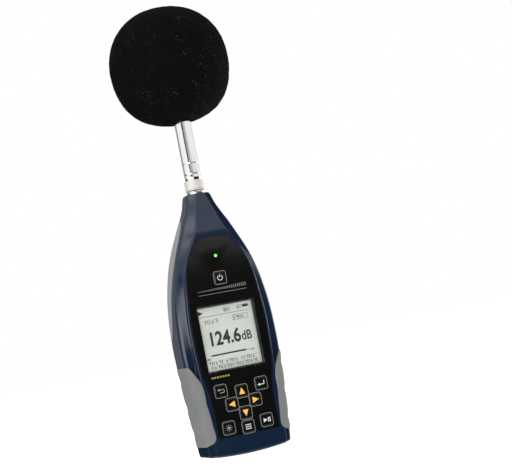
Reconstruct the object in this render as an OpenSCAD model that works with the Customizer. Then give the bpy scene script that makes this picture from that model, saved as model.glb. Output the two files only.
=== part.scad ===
// Hand-held sound level meter with a half-inch measurement microphone, foam windscreen, display and keypad.
// +Z runs up the meter to the microphone, the display faces -Y, +X is to the right of someone reading it.
// The origin is at the mouth of the tripod thread in the back. Inside the modules, heights are measured
// from the lowest point of the case and depths from the microphone's axis, and placed() moves them there.

/* [Case] */
// Length of the case, without the microphone
body_h = 197; // [190:1:205]
// Depth of the case from its centre plane to the front, and to the back
half_depth = 18; // [18:0.5:20]
// Thickness of the moulded walls
wall = 2.4; // [2:0.1:2.6]
// Distance of the joint between the two case halves behind the centre plane
seam_y = 6.5; // [6.4:0.1:6.6]
// Radius of the slightly bowed bottom edge
bottom_bow_r = 168; // [140:1:260]

/* [Grips and trim] */
// Thickness of the rubber grips
grip_t = 2; // [1.5:0.1:2.2]
// Thickness of the case wall behind the grips
grip_backing = 1.2; // [1:0.1:1.2]
// Height of the waves on the grips
grip_wave = 0.35; // [0:0.05:0.5]
// Thickness of the grey side trim
inlay_t = 1.2; // [0.8:0.1:1.4]

/* [Mounting] */
// Height of the tripod thread above the bottom
tripod_z = 112; // [108:1:122]
// Working radius of the 1/4-20 tripod thread
tripod_r = 3.175; // [3.175:0.001:3.175]

/* [Display] */
// Width of the display window
window_w = 45.2; // [42:0.1:46]
// Height of the display window
window_h = 49.4; // [44:0.1:50]
// Height of the window's centre above the bottom
window_z = 87.2; // [86:0.1:88]
// Distance of the display glass behind the window's face
lcd_depth = 2.6; // [2.4:0.1:3]

/* [Keys] */
// Side of a key
key_w = 8.8; // [8:0.1:9]
// Corner radius of a key
key_r = 1.5; // [0.5:0.1:2.5]
// Travel of a key
key_travel = 0.5; // [0.3:0.05:0.5]

/* [Microphone] */
// Diameter of the preamplifier tube and microphone
mic_d = 12.7; // [12.7:0.1:13.2]
// Height of the microphone's tip above the bottom of the case
mic_tip_z = 300; // [296:1:304]
// Diameter of the coupling nut
nut_d = 14.7; // [14:0.1:16]
// Travel of the microphone when the coupling nut is undone
thread_travel = 4.99; // [3:0.01:5]

/* [Windscreen] */
// Diameter of the foam ball
ball_d = 92; // [80:1:95]
// Height of the ball's centre above the bottom of the case
ball_z = 297.7; // [296:0.1:302]

/* [Power] */
// Diameter of a battery cell
cell_d = 14.5; // [14:0.1:14.5]
// Length of a battery cell with its button
cell_l = 50.5; // [49:0.1:50.5]

/* [Hidden] */
$fn = 48;

navy = "#1b2b48";
charcoal = "#1b1c1d";
grip_grey = "#848686";

// ---- Curves of the case: each list holds [height, value] at the few places that set the shape ----
side_curve = [[0, 32.7], [27, 34.6], [57, 36.7], [82, 37.5], [107, 36.7], [127, 34], [147, 28.8], [172, 18.6],
    [187, 12], [197, 9.3]];
face_curve = [[0, 27.8], [60, 29.6], [97, 30.5], [117, 28.9], [132, 27.1], [147, 23.6], [164, 15], [173, 12],
    [197, 4.7]];
front_curve = [[0, half_depth], [140, half_depth], [171, half_depth], [197, 9.5]];
back_curve = [[0, half_depth], [120, half_depth], [150, 17.2], [175, 12.2], [197, 9.5]];
step_curve = [[0, 3.6], [97, 3.6], [125, 3], [150, 1.8], [171, 0.3], [197, 0.3]];
shoulder_curve = [[0, 15], [110, 15], [147, 13.3], [172, 9.8], [197, 4.7]];
overlay_curve = [[14.2, 24], [45, 24.6], [65, 27.9], [96, 29], [116, 27.6], [131, 26.2], [146, 22.2],
    [162.3, 13.4]];
trim_curve = [[89, 8], [97, 1.4], [107, -2], [120, -3.5], [147, -7.4], [170, -6.1], [180.6, -1.4]];
loft_heights = [0, 10, 22, 36, 50, 64, 77, 89, 100, 111, 122, 132, 141, 150, 157, 164, 171, 178, 184, 190,
    body_h];

function curve_index(c, z, i = 0) = (i >= len(c) - 2 || z < c[i + 1][0]) ? i : curve_index(c, z, i + 1);
function slope(c, i) = let (a = max(i - 1, 0), b = min(i + 1, len(c) - 1))
    (c[b][1] - c[a][1]) / (c[b][0] - c[a][0]);
function smooth(c, z) = let (
        i = curve_index(c, z),
        d = c[i + 1][0] - c[i][0],
        t = (z - c[i][0]) / d,
        u = 1 - t)
    c[i][1] * (1 + 2 * t) * u * u + slope(c, i) * d * t * u * u
    + c[i + 1][1] * (3 - 2 * t) * t * t - slope(c, i + 1) * d * t * t * u;
function straight(c, z) = let (i = curve_index(c, z), t = (z - c[i][0]) / (c[i + 1][0] - c[i][0]))
    c[i][1] * (1 - t) + c[i + 1][1] * t;

function half_width(z) = smooth(side_curve, z);
function corner_r(z) = min(7, half_width(z) * 0.5);

// Rear corner of the section between two angles, grown outward by g
function rear_corner(z, g, angles) = let (h = half_width(z), b = smooth(back_curve, z), k = corner_r(z))
    [for (a = angles) [h - k + (k + g) * cos(a), b - k + (k + g) * sin(a)]];

// Right half of the case's section, from the edge of the front face round to the back
function case_half(z) = let (
        h = half_width(z),
        f = straight(front_curve, z),
        p = smooth(face_curve, z),
        s = straight(step_curve, z),
        y = straight(shoulder_curve, z))
    concat([[p, -f], [p + 0.2 * s, -f + s], [h - 0.8, -y - 0.4], [h, -y + 0.8]],
        rear_corner(z, 0, [0, 20, 40, 65, 90]));
function mirrored(half) = [for (i = [len(half) - 1:-1:0]) [-half[i][0], half[i][1]]];
function at_height(points, z) = [for (p = points) [p[0], p[1], z]];
function case_ring(z) = at_height(concat(case_half(z), mirrored(case_half(z))), z);

module loft(rings) {
    n = len(rings[0]);
    m = len(rings);
    points = [for (r = rings) for (p = r) p];
    lower = [for (j = [0:m - 2]) for (i = [0:n - 1])
        [j * n + i, (j + 1) * n + i, (j + 1) * n + (i + 1) % n]];
    upper = [for (j = [0:m - 2]) for (i = [0:n - 1])
        [j * n + i, (j + 1) * n + (i + 1) % n, j * n + (i + 1) % n]];
    caps = [[for (i = [0:n - 1]) i], [for (i = [n - 1:-1:0]) (m - 1) * n + i]];
    polyhedron(points, concat(lower, upper, caps));
}

// ---- Helpers ----
module along_y(y0, y1) {
    translate([0, y1, 0]) rotate([90, 0, 0]) linear_extrude(y1 - y0) children();
}
module block(x0, x1, y0, y1, z0, z1) {
    translate([x0, y0, z0]) cube([x1 - x0, y1 - y0, z1 - z0]);
}
module rounded_rect(w, h, r) {
    for (x = [-1, 1]) for (y = [-1, 1]) translate([x * (w / 2 - r), y * (h / 2 - r)]) circle(r, $fn = 32);
    square([w - 2 * r, h], center = true);
    square([w, h - 2 * r], center = true);
}
module rod_y(x, z, r, y0, y1) {
    translate([x, y1, z]) rotate([90, 0, 0]) cylinder(r = r, h = y1 - y0);
}
module rod_z(x, y, r, z0, z1) {
    translate([x, y, z0]) cylinder(r = r, h = z1 - z0);
}
module placed() {
    translate([0, -half_depth, -tripod_z]) children();
}
module ring_z(r_out, r_in, z0, z1) {
    difference() {
        rod_z(0, 0, r_out, z0, z1);
        rod_z(0, 0, r_in, z0 - 1, z1 + 1);
    }
}

// ---- Case ----
module case_solid() {
    intersection() {
        loft([for (z = loft_heights) case_ring(z)]);
        translate([0, 0, bottom_bow_r]) rotate([90, 0, 0])
            cylinder(r = bottom_bow_r, h = 80, center = true, $fn = 180);
    }
}

cavity_z = [4, 10, 22, 36, 50, 64, 72];
cavity_upper_z = [72, 89, 100, 111, 122, 132, 141, 150, 157, 164, 171, 178, 183];
module both_sides(right) { polygon(concat(right, mirrored(right))); }
module cavity_outline(inset) {
    both_sides(concat([for (z = cavity_z) [half_width(z) - grip_t - grip_backing - inset, z]],
        [for (z = cavity_upper_z) [half_width(z) - wall - inlay_t - inset, z]]));
}
module cavity_below(top, inset) {
    intersection() {
        cavity_outline(inset);
        translate([-50, 0]) square([100, top]);
    }
}
module face_outline(inset, z_low, z_high) {
    both_sides([for (i = [0:12]) let (z = z_low + (z_high - z_low) * i / 12)
        [smooth(face_curve, z) - inset, z]]);
}
cover_top_z = 187;
module rear_block() { block(-60, 60, seam_y, 60, -5, cover_top_z); }

// Grip outline seen from the front: the edge climbs from the inner side over the shoulder of the case
grip_edge = [[26, 15], [26.6, 27], [28, 41], [28.3, 52], [30.1, 58.6], [32.4, 63], [34.5, 67], [37, 70],
    [45, 70.5]];
module grip_outline() {
    polygon(concat([[45, 7.5], [33, 10.5]], grip_edge));
}
grip_heights = [4, 10, 22, 36, 50, 64, 77];
grip_fine = [for (z = [4:4:76]) z];
function grip_bump(z) = grip_wave * cos(360 * (z - 10) / 20) * (z < 12 ? 0 : 1);
// Rounded shoulder of the grip, grown outward by g
function grip_shoulder(z, g) = let (h = half_width(z), rx = 8.5, ry = 6)
    [for (a = [-90:15:0]) [h - rx + (rx + g) * cos(a), -half_depth + ry + (ry + g) * sin(a)]];
wrap = [0, 20, 40];
function reversed(list) = [for (i = [len(list) - 1:-1:0]) list[i]];
function grip_ring(z, g, t) = let (o = grip_shoulder(z, g), n = grip_shoulder(z, -t))
    at_height(concat([[18, o[0][1]]], o, rear_corner(z, g, wrap), reversed(rear_corner(z, -t, wrap)),
        reversed(n), [[18, n[0][1]]]), z);
module grip_solid(grip_outer, steps) {
    intersection() {
        loft([for (z = steps) grip_ring(z, grip_outer + (grip_outer < 1 ? grip_bump(z) : 0), grip_t)]);
        along_y(-40, 40) grip_outline();
    }
}
module grip_pocket() { grip_solid(6, grip_heights); }
trim_heights = [89, 94, 100, 111, 122, 132, 141, 150, 157, 164, 171, 176, 180.6];
function trim_ring(z, g) = let (h = half_width(z), y = smooth(trim_curve, z))
    at_height(concat([[h - inlay_t, y], [h + g, y]], rear_corner(z, g, wrap),
        reversed(rear_corner(z, -inlay_t, wrap))), z);
module trim(g) {
    loft([for (z = trim_heights) trim_ring(z, g)]);
}

// ---- Positions shared by several parts ----
face_y = -half_depth;
plate_y = face_y + 0.45;
inner_face_y = face_y + wall;
board_y = -11;
board_t = 1.6;
board_back_y = board_y + board_t;
analog_y = -3;
analog_back_y = analog_y + board_t;
key_gap = 0.15;
key_rise = 0.45;
flange_t = 0.8;
flange_y = inner_face_y + 0.05;
dome_clear = 0.15;
dome_y = flange_y + flange_t + key_travel + dome_clear;
mat_t = 1;
plate_rise = 0.15;
window_back_y = -16.9;
window_ledge = 0.6;
arrow_x = 9.25;
KEY_POWER = [0, 130.9];
KEY_ESCAPE = [-16, 48.6];
KEY_ENTER = [16, 48.6];
KEY_UP = [0, 45.7];
KEY_DOWN = [0, 29.6];
KEY_LEFT = [-arrow_x, 37.6];
KEY_RIGHT = [arrow_x, 37.6];
KEY_LIGHT = [-15, 21.2];
KEY_RUN = [15, 21.2];
KEY_MENU = [0, 19.2];
KEYS = [KEY_POWER, KEY_ESCAPE, KEY_ENTER, KEY_UP, KEY_DOWN, KEY_LEFT, KEY_RIGHT, KEY_LIGHT, KEY_RUN,
    KEY_MENU];
led_z = 147.6;
led_r = 1.25;
pilot_r = 1.1;
head_r = 2.3;
head_seat_y = 10.4;
board_pilot_r = 0.8;
board_head_r = 1.8;
front_boss_r = 2.7;
rear_boss_r = 3.4;
post_r = 2;
screw_hole_r = 1.1;
screw_low = [24.4, 13];
screw_high = [17.5, 152];
SCREWS = [for (s = [-1, 1]) for (p = [screw_low, screw_high]) [s * p[0], p[1]]];
POSTS = [for (s = [-1, 1]) for (z = [57.6, 117.5]) [s * 23, z]];
ANALOG_POSTS = [for (s = [-1, 1]) [s * 8.5, 171]];
jack_x = 17;
jack_y = -6.1;
usb_x = -6.2;
card_x = 6.2;
jack_r = 3.3;
plug_r = 1.8;
cell_pitch = cell_d + 0.1;
cell_y = 8.1;
tray_low = 30;
tray_wall = 1.2;
tray_skin = 0.7;
spring_l = 4.2;
contact_t = 0.5;
tray_half = 2 * cell_pitch + 0.1;
tray_floor = tray_low + tray_wall;
tray_roof = tray_floor + spring_l + cell_l + contact_t;
door_low = 27;
door_high = 92;
door_half = 28.6;
door_t = 1.6;
door_clear = 0.15;
bead_r = 0.9;
bead_y = half_depth - 1.2;
door_pin_r = 0.6;
door_pin_l = 1.1;
door_swing_r = 1.42;
barrel_r = 5.5;
insert_r = 4.8;
insert_l = 8;
card_w = 11;
nut_z = 199.9;

module window_outline(grow) {
    translate([0, window_z]) square([window_w + 2 * grow, window_h + 2 * grow], center = true);
}
module key_shape(grow) { rounded_rect(key_w + 2 * grow, key_w + 2 * grow, key_r + grow); }

module overlay_outline(grow) {
    low = overlay_curve[0];
    high = overlay_curve[len(overlay_curve) - 1];
    steps = 24;
    foot = [low[0] - grow, low[1] + grow];
    edge = [for (i = [0:steps]) let (z = low[0] + (high[0] - low[0]) * i / steps)
        [smooth(overlay_curve, z) + grow, z]];
    crown = [for (a = [20:20:80]) [high[1] * cos(a), high[0] + grow + 1.6 * sin(a)]];
    both_sides(concat([[foot[1], foot[0]]], edge, crown));
}

module front_shell() {
    color(navy) difference() {
        union() {
            difference() {
                case_solid();
                rear_block();
                along_y(-11.2, seam_y + 1) cavity_outline(0);
                along_y(inner_face_y, -11) face_outline(2, 5, 160);
            }
            for (s = SCREWS) rod_y(s[0], s[1], front_boss_r, inner_face_y - 0.5, seam_y);
            for (p = POSTS) rod_y(p[0], p[1], post_r, inner_face_y - 0.5, board_y);
            for (p = ANALOG_POSTS) rod_y(p[0], p[1], post_r, inner_face_y, analog_y);
        }
        grip_pocket();
        mirror([1, 0, 0]) grip_pocket();
        trim(3);
        mirror([1, 0, 0]) trim(3);
        along_y(face_y - 2, plate_y) overlay_outline(0);
        for (k = KEYS) translate([k[0], 0, k[1]]) along_y(-20, -10) key_shape(key_gap);
        along_y(-20, window_back_y) window_outline(0);
        along_y(-17.5, -10) window_outline(-window_ledge);
        rod_y(0, led_z, led_r + 0.05, -20, -10);
        for (s = SCREWS) rod_y(s[0], s[1], pilot_r, -8, seam_y + 1);
        for (p = POSTS) rod_y(p[0], p[1], board_pilot_r, inner_face_y + 0.4, board_y + 1);
        for (p = ANALOG_POSTS) rod_y(p[0], p[1], board_pilot_r, -9, analog_y + 1);
        rod_z(0, 0, barrel_r + 0.05, 150, 210);
        for (s = [-1, 1]) rod_z(s * jack_x, jack_y, jack_r + 0.05, -2, 10);
        block(usb_x - 4.2, usb_x + 4.2, -9.6, -5, -2, 8);
        block(card_x - card_w / 2 - 0.3, card_x + card_w / 2 + 0.3, -9.2, -7.8, -2, 8);
    }
}

module door_prism(gap) {
    block(-door_half - gap, door_half + gap, half_depth - door_t - gap, 30, door_low, door_high + gap);
}
module door_rod(r, half_l) {
    translate([-half_l, bead_y, door_low]) rotate([0, 90, 0]) cylinder(r = r, h = 2 * half_l);
}

module rear_shell() {
    color(navy) difference() {
        union() {
            difference() {
                intersection() {
                    case_solid();
                    rear_block();
                }
                along_y(0, half_depth - wall) cavity_below(132, 2);
                along_y(0, 11.5) cavity_below(160, 0);
            }
            rod_y(0, tripod_z, 7, seam_y, half_depth - wall + 0.5);
            for (s = SCREWS)
                rod_y(s[0], s[1], rear_boss_r, seam_y, half_depth - wall + (s[1] > 100 ? -1 : 0.5));
        }
        door_prism(door_clear);
        door_rod(door_swing_r, door_half + door_clear);
        door_rod(door_pin_r + 0.06, door_half + door_pin_l + 0.1);
        rod_y(0, tripod_z, insert_r, half_depth - insert_l, 30);
        for (s = SCREWS) rod_y(s[0], s[1], pilot_r + 0.2, 0, 30);
        for (s = SCREWS) rod_y(s[0], s[1], head_r + 0.3, head_seat_y, 30);
        block(-door_half + 0.8, door_half - 0.8, 0, 30, tray_floor, door_high - 1.2);
        grip_pocket();
        mirror([1, 0, 0]) grip_pocket();
        trim(3);
        mirror([1, 0, 0]) trim(3);
    }
}

// Lid of the battery compartment: it tips on the round bead along its lower edge
module battery_door() {
    color(navy) union() {
        difference() {
            intersection() {
                case_solid();
                door_prism(0);
            }
            for (i = [-2:2]) block(-9, 9, half_depth - 0.5, 30, 82 + 2 * i, 82.9 + 2 * i);
            block(-door_half - 1, door_half + 1, 0, 30, 0, door_low + 0.2);
        }
        door_rod(bead_r, door_half);
        door_rod(door_pin_r, door_half + door_pin_l);
    }
}

module grip_right() { color(grip_grey) grip_solid(0.25, grip_fine); }
module grip_left() { mirror([1, 0, 0]) grip_right(); }
module inlay_right() { color("#8a8c8b") trim(0); }
module inlay_left() { mirror([1, 0, 0]) inlay_right(); }

// ---- Front panel ----
module faceplate() {
    color(charcoal) difference() {
        along_y(face_y - plate_rise, plate_y) overlay_outline(-0.1);
        for (k = KEYS) translate([k[0], 0, k[1]]) along_y(-20, -10) key_shape(key_gap);
        along_y(-20, -10) window_outline(0);
        rod_y(0, led_z, led_r + 0.05, -20, -10);
    }
}
module display_window() {
    color("#9fb4ad", 0.4) along_y(face_y - plate_rise, window_back_y) window_outline(-0.05);
}
lcd_y = face_y + lcd_depth;
glass_t = 1.5;
light_t = 1.5;
module lcd_panel() { color("#ccd2c8") along_y(lcd_y, lcd_y + glass_t) window_outline(0.5); }
module lcd_backlight() {
    color("white") along_y(lcd_y + glass_t, lcd_y + glass_t + light_t) window_outline(-0.2);
}
module lcd_frame() {
    color("#303234") difference() {
        along_y(lcd_y, board_y) window_outline(1.8);
        along_y(lcd_y - 1, lcd_y + glass_t) window_outline(0.5);
        along_y(lcd_y + 1, lcd_y + glass_t + light_t) window_outline(-0.2);
        along_y(-20, 0) window_outline(-4.7);
    }
}
module led_light_pipe() {
    color("#3bd16a") union() {
        rod_y(0, led_z, led_r, face_y - 0.1, flange_y + 0.55);
        rod_y(0, led_z, led_r + 0.75, flange_y + 0.05, flange_y + 0.85);
    }
}

// A key is a square cap with a wider flange that stops it behind the front wall
module key(p) {
    color("#262728") translate([p[0], 0, p[1]]) union() {
        along_y(face_y - key_rise, flange_y + 0.25) key_shape(0);
        along_y(flange_y, flange_y + flange_t) rounded_rect(key_w + 0.6, key_w + 0.6, key_r);
    }
}
dome_r = 3;
module keypad_mat() {
    color("#5b6064") difference() {
        union() {
            along_y(board_y - mat_t, board_y) translate([0, 33.8]) square([42, 39], center = true);
            along_y(board_y - mat_t, board_y) translate(KEY_POWER) square([12, 12], center = true);
            for (k = KEYS) rod_y(k[0], k[1], dome_r, dome_y, board_y - mat_t / 2);
        }
        for (k = KEYS) rod_y(k[0], k[1], dome_r - 0.6, board_y - mat_t + 0.2, board_y + 1);
    }
}
module key_contacts() {
    color("#d8b04a") for (k = KEYS) rod_y(k[0], k[1], dome_r - 0.8, board_y - 0.12, board_y);
}

// ---- Electronics ----
module main_board() {
    color("#1f6b3a") difference() {
        union() {
            block(-25.2, 25.2, board_y, board_back_y, 19.5, 143);
            block(-21, 21, board_y, board_back_y, 5, 20);
        }
        for (p = POSTS) rod_y(p[0], p[1], screw_hole_r, -20, 0);
    }
}
module analog_board() {
    color("#1f6b3a") difference() {
        block(-11.5, 11.5, analog_y, analog_back_y, 134, 175);
        for (p = ANALOG_POSTS) rod_y(p[0], p[1], screw_hole_r, -20, 0);
    }
}
module board_header() {
    color("#202224") block(-10, 10, board_back_y, analog_y, 135.5, 139.5);
}
can_t = 0.4;
module shield_can() {
    color("silver") difference() {
        block(-9.5, 9.5, analog_back_y, 3, 141, 164);
        block(-9.1, 9.1, analog_back_y - 1, 3 - can_t, 141 + can_t, 164 - can_t);
    }
}
module chips() {
    color("#17181a") union() {
        block(-7, 7, board_back_y, board_back_y + 1.4, 92, 106);
        block(10, 20, board_back_y, board_back_y + 1.2, 94, 104);
        block(-20, -12, board_back_y, board_back_y + 1.2, 62, 74);
        block(-4, 4, board_back_y, board_back_y + 1.2, 66, 71);
        block(8, 14, board_back_y, board_back_y + 1.8, 118, 126);
        for (x = [-15:5:0]) block(x, x + 2, board_back_y, board_back_y + 0.8, 122, 123.2);
    }
}
module clock_cell() {
    color("silver") rod_y(-16, 104, 6.25, board_back_y, board_back_y + 2);
}
module card_socket() {
    color("#b9bcc0") difference() {
        block(card_x - 7.2, card_x + 7.2, board_back_y, -7.4, 8.2, 20);
        block(card_x - card_w / 2 - 0.1, card_x + card_w / 2 + 0.1, -9.1, -7.9, 0, 19);
    }
}
module memory_card() {
    color("#101214") block(card_x - card_w / 2, card_x + card_w / 2, -9, -8, 1.4, 16.4);
}
module usb_socket() {
    color("silver") difference() {
        block(usb_x - 4, usb_x + 4, board_back_y, -5.2, 1, 10.4);
        block(usb_x - 3.4, usb_x + 3.4, -8.8, -5.8, 0, 9.4);
    }
}
module jack(x) {
    color("#141516") difference() {
        union() {
            rod_z(x, jack_y, jack_r, 1.2, 16);
            block(x - 3.4, x + 3.4, board_back_y, jack_y + 3.4, 10.2, 16);
        }
        rod_z(x, jack_y, plug_r, 0, 12.7);
    }
}

// ---- Microphone connector ----
module tnc_receptacle() {
    color("#c9cbcc") difference() {
        union() {
            rod_z(0, 0, barrel_r, 179.4, nut_z + thread_travel + 0.31);
            rod_z(0, 0, 6.7, body_h, body_h + 2.6);
        }
        rod_z(0, 0, 4.15, 197, 210);
        rod_z(0, 0, 2, 170, 198);
    }
}
module tnc_locknut() {
    color("#c9cbcc") difference() {
        rod_z(0, 0, 6.4, 180.6, 183);
        rod_z(0, 0, barrel_r, 170, 200);
    }
}
module tnc_contact() {
    color("gold") difference() {
        union() {
            rod_z(0, 0, 1.3, 190, 203.2);
            rod_z(0, 0, 2, 190, 194);
        }
        rod_z(0, 0, 0.75, 195, 210);
    }
}
module signal_lead() {
    color("#2b2c2e") union() {
        rod_z(0, 0, 0.9, 172, 190);
        block(-1.8, 1.8, -1.4, 1.2, 166.5, 172.2);
    }
}
module coupling_nut() {
    color("#d4d5d6") difference() {
        rod_z(0, 0, nut_d / 2, nut_z, nut_z + 7.9);
        rod_z(0, 0, barrel_r + 0.05, nut_z - 1, nut_z + 6.9);
        rod_z(0, 0, 4.4, nut_z, nut_z + 9);
        ring_z(nut_d, nut_d / 2 - 0.25, nut_z + 0.9, nut_z + 1.3);
    }
}

// ---- Preamplifier and microphone ----
mic_r = mic_d / 2;
capsule_z = mic_tip_z - 16;
module preamp_tube() {
    color("#c4c6c7") difference() {
        union() {
            rod_z(0, 0, 4.05, 199.6, 206);
            rod_z(0, 0, 4.95, 205.5, 206.7);
            rod_z(0, 0, 4.3, 206.5, 208.4);
            rod_z(0, 0, mic_r - 0.15, 208, 212.2);
            rod_z(0, 0, mic_r - 0.45, 211, 213);
            rod_z(0, 0, mic_r, 212.3, capsule_z);
        }
        rod_z(0, 0, 3.3, 190, 206);
        rod_z(0, 0, 1.8, 190, 214);
        rod_z(0, 0, mic_r - 1, 213, capsule_z + 1);
        ring_z(mic_r + 1, mic_r - 0.12, 220.4, 220.7);
    }
}
module preamp_pin() {
    color("gold") union() {
        rod_z(0, 0, 0.65, 197.6, 209);
        rod_z(0, 0, 1.8, 207, 216);
    }
}
module preamp_board() {
    color("#1f6b3a") block(-4.6, 4.6, -0.5, 0.5, 216, 276);
}
module preamp_insulator() {
    color("white") union() {
        rod_z(0, 0, mic_r - 1, 279, capsule_z - 0.6);
        rod_z(0, 0, 0.8, 276, 288);
    }
}
module mic_housing() {
    color("#b9bbbc") difference() {
        rod_z(0, 0, mic_r, capsule_z, mic_tip_z - 5);
        rod_z(0, 0, mic_r - 0.9, capsule_z - 1, mic_tip_z);
    }
}
module mic_backplate() {
    color("#caa64a") difference() {
        union() {
            rod_z(0, 0, 4, mic_tip_z - 7.4, mic_tip_z - 6);
            rod_z(0, 0, 1.2, 288, mic_tip_z - 7);
        }
        for (a = [0:60:300]) rotate([0, 0, a]) rod_z(2.6, 0, 0.35, 280, mic_tip_z);
    }
}
module mic_insulator() {
    color("#e9e4d8") ring_z(mic_r - 0.9, 1.2, 289.5, 291);
}
module mic_diaphragm() {
    color("#d9dadb") rod_z(0, 0, mic_r - 0.3, mic_tip_z - 5, mic_tip_z - 4.8);
}
module mic_grid() {
    color("#b9bbbc") difference() {
        rod_z(0, 0, mic_r + 0.25, mic_tip_z - 4.8, mic_tip_z);
        rod_z(0, 0, mic_r - 0.6, mic_tip_z - 5, mic_tip_z - 1);
        for (a = [0:45:315]) rotate([0, 0, a]) block(2, 5, -0.45, 0.45, mic_tip_z - 2, mic_tip_z + 1);
        for (a = [0:30:330]) rotate([0, 0, a]) block(5.4, 8, -0.5, 0.5, mic_tip_z - 3.8, mic_tip_z - 1.6);
        rod_z(0, 0, 0.6, mic_tip_z - 2, mic_tip_z + 1);
    }
}

// ---- Windscreen ----
module windscreen() {
    color("#1c1c1b") difference() {
        translate([0, 0, ball_z]) sphere(d = ball_d, $fn = 96);
        rod_z(0, 0, mic_r + 0.55, ball_z - ball_d, mic_tip_z + 0.3);
    }
}

// ---- Power ----
module battery_tray() {
    color("#2a2c2f") difference() {
        block(-tray_half - tray_skin, tray_half + tray_skin, -0.9, 15.5, tray_low, tray_roof + tray_wall);
        block(-tray_half, tray_half, 0.6, 16, tray_floor, tray_roof);
    }
}
// Every second cell is turned end for end: a spring presses its flat end, a plate meets its button
function turned(i) = i % 2 == 1;
function cell_x(i) = (i - 1.5) * cell_pitch;
function cell_z(i) = turned(i) ? tray_floor + contact_t : tray_floor + spring_l;
module cell() {
    cylinder(d = cell_d, h = cell_l - 1.2);
    cylinder(r = 2.7, h = cell_l);
}
module battery_cells() {
    color("#c99b3c") for (i = [0:3]) translate([cell_x(i), cell_y, cell_z(i) + cell_l / 2])
        rotate([turned(i) ? 180 : 0, 0, 0]) translate([0, 0, -cell_l / 2]) cell();
}
wire_r = 0.35;
spring_turns = 2.5;
spring_steps = 40;
function wire_ring(t, h) = let (
        a = 360 * spring_turns * t,
        r = 5.4 - 2.2 * t,
        z = wire_r + (h - 2 * wire_r) * t)
    [for (b = [0:60:300]) let (d = r + wire_r * cos(b)) [d * cos(a), d * sin(a), z + wire_r * sin(b)]];
module cone_spring(h) {
    rings = [for (i = [0:spring_steps]) wire_ring(i / spring_steps, h)];
    mirror([0, 0, 1]) loft([for (r = rings) [for (p = r) [p[0], p[1], -p[2]]]]);
}
module battery_springs() {
    color("silver") for (i = [0:3])
        translate([cell_x(i), cell_y, turned(i) ? tray_roof : tray_floor])
            mirror([0, 0, turned(i) ? 1 : 0]) cone_spring(spring_l - 0.05);
}
module battery_contacts() {
    color("silver") for (i = [0:3]) let (z = turned(i) ? tray_floor : tray_roof - contact_t)
        block(cell_x(i) - 4, cell_x(i) + 4, cell_y - 4, cell_y + 4, z, z + contact_t);
}

// ---- Fasteners ----
module tripod_insert() {
    color("#b88d3f") difference() {
        rod_y(0, tripod_z, insert_r, half_depth - insert_l, half_depth);
        rod_y(0, tripod_z, tripod_r, half_depth - insert_l - 1, half_depth + 1);
    }
}
module housing_screws() {
    color("#8a8d90") for (s = SCREWS) difference() {
        union() {
            rod_y(s[0], s[1], pilot_r, -4, head_seat_y + 0.6);
            rod_y(s[0], s[1], head_r, head_seat_y, head_seat_y + 1.8);
        }
        rod_y(s[0], s[1], 0.9, head_seat_y + 0.8, head_seat_y + 3);
    }
}
module board_screws() {
    color("#8a8d90") union() {
        for (p = POSTS) {
            rod_y(p[0], p[1], board_pilot_r, board_y - 2.6, board_back_y + 0.5);
            rod_y(p[0], p[1], board_head_r, board_back_y, board_back_y + 1);
        }
        for (p = ANALOG_POSTS) {
            rod_y(p[0], p[1], board_pilot_r, analog_y - 4.5, analog_back_y + 0.2);
            rod_y(p[0], p[1], board_head_r, analog_back_y, analog_back_y + 1);
        }
    }
}

placed() front_shell();
placed() rear_shell();
placed() battery_door();
placed() grip_left();
placed() grip_right();
placed() inlay_left();
placed() inlay_right();
placed() faceplate();
placed() display_window();
placed() lcd_panel();
placed() lcd_backlight();
placed() lcd_frame();
placed() led_light_pipe();
placed() key(KEY_POWER);  // key_power
placed() key(KEY_ESCAPE);  // key_escape
placed() key(KEY_ENTER);  // key_enter
placed() key(KEY_UP);  // key_up
placed() key(KEY_DOWN);  // key_down
placed() key(KEY_LEFT);  // key_left
placed() key(KEY_RIGHT);  // key_right
placed() key(KEY_LIGHT);  // key_light
placed() key(KEY_MENU);  // key_menu
placed() key(KEY_RUN);  // key_run
placed() keypad_mat();
placed() key_contacts();
placed() main_board();
placed() analog_board();
placed() board_header();
placed() shield_can();
placed() chips();
placed() clock_cell();
placed() card_socket();
placed() memory_card();
placed() usb_socket();
placed() jack(-jack_x);  // ac_jack
placed() jack(jack_x);  // dc_jack
placed() tnc_receptacle();
placed() tnc_locknut();
placed() tnc_contact();
placed() signal_lead();
placed() coupling_nut();
placed() preamp_tube();
placed() preamp_pin();
placed() preamp_board();
placed() preamp_insulator();
placed() mic_housing();
placed() mic_backplate();
placed() mic_insulator();
placed() mic_diaphragm();
placed() mic_grid();
placed() windscreen();
placed() battery_tray();
placed() battery_cells();
placed() battery_springs();
placed() battery_contacts();
placed() tripod_insert();
placed() housing_screws();
placed() board_screws();
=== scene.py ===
from math import asin, cos, exp, pi, radians, sin, sqrt, tan, tau

import bmesh
import bpy
from mathutils import Matrix, Vector, noise


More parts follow.
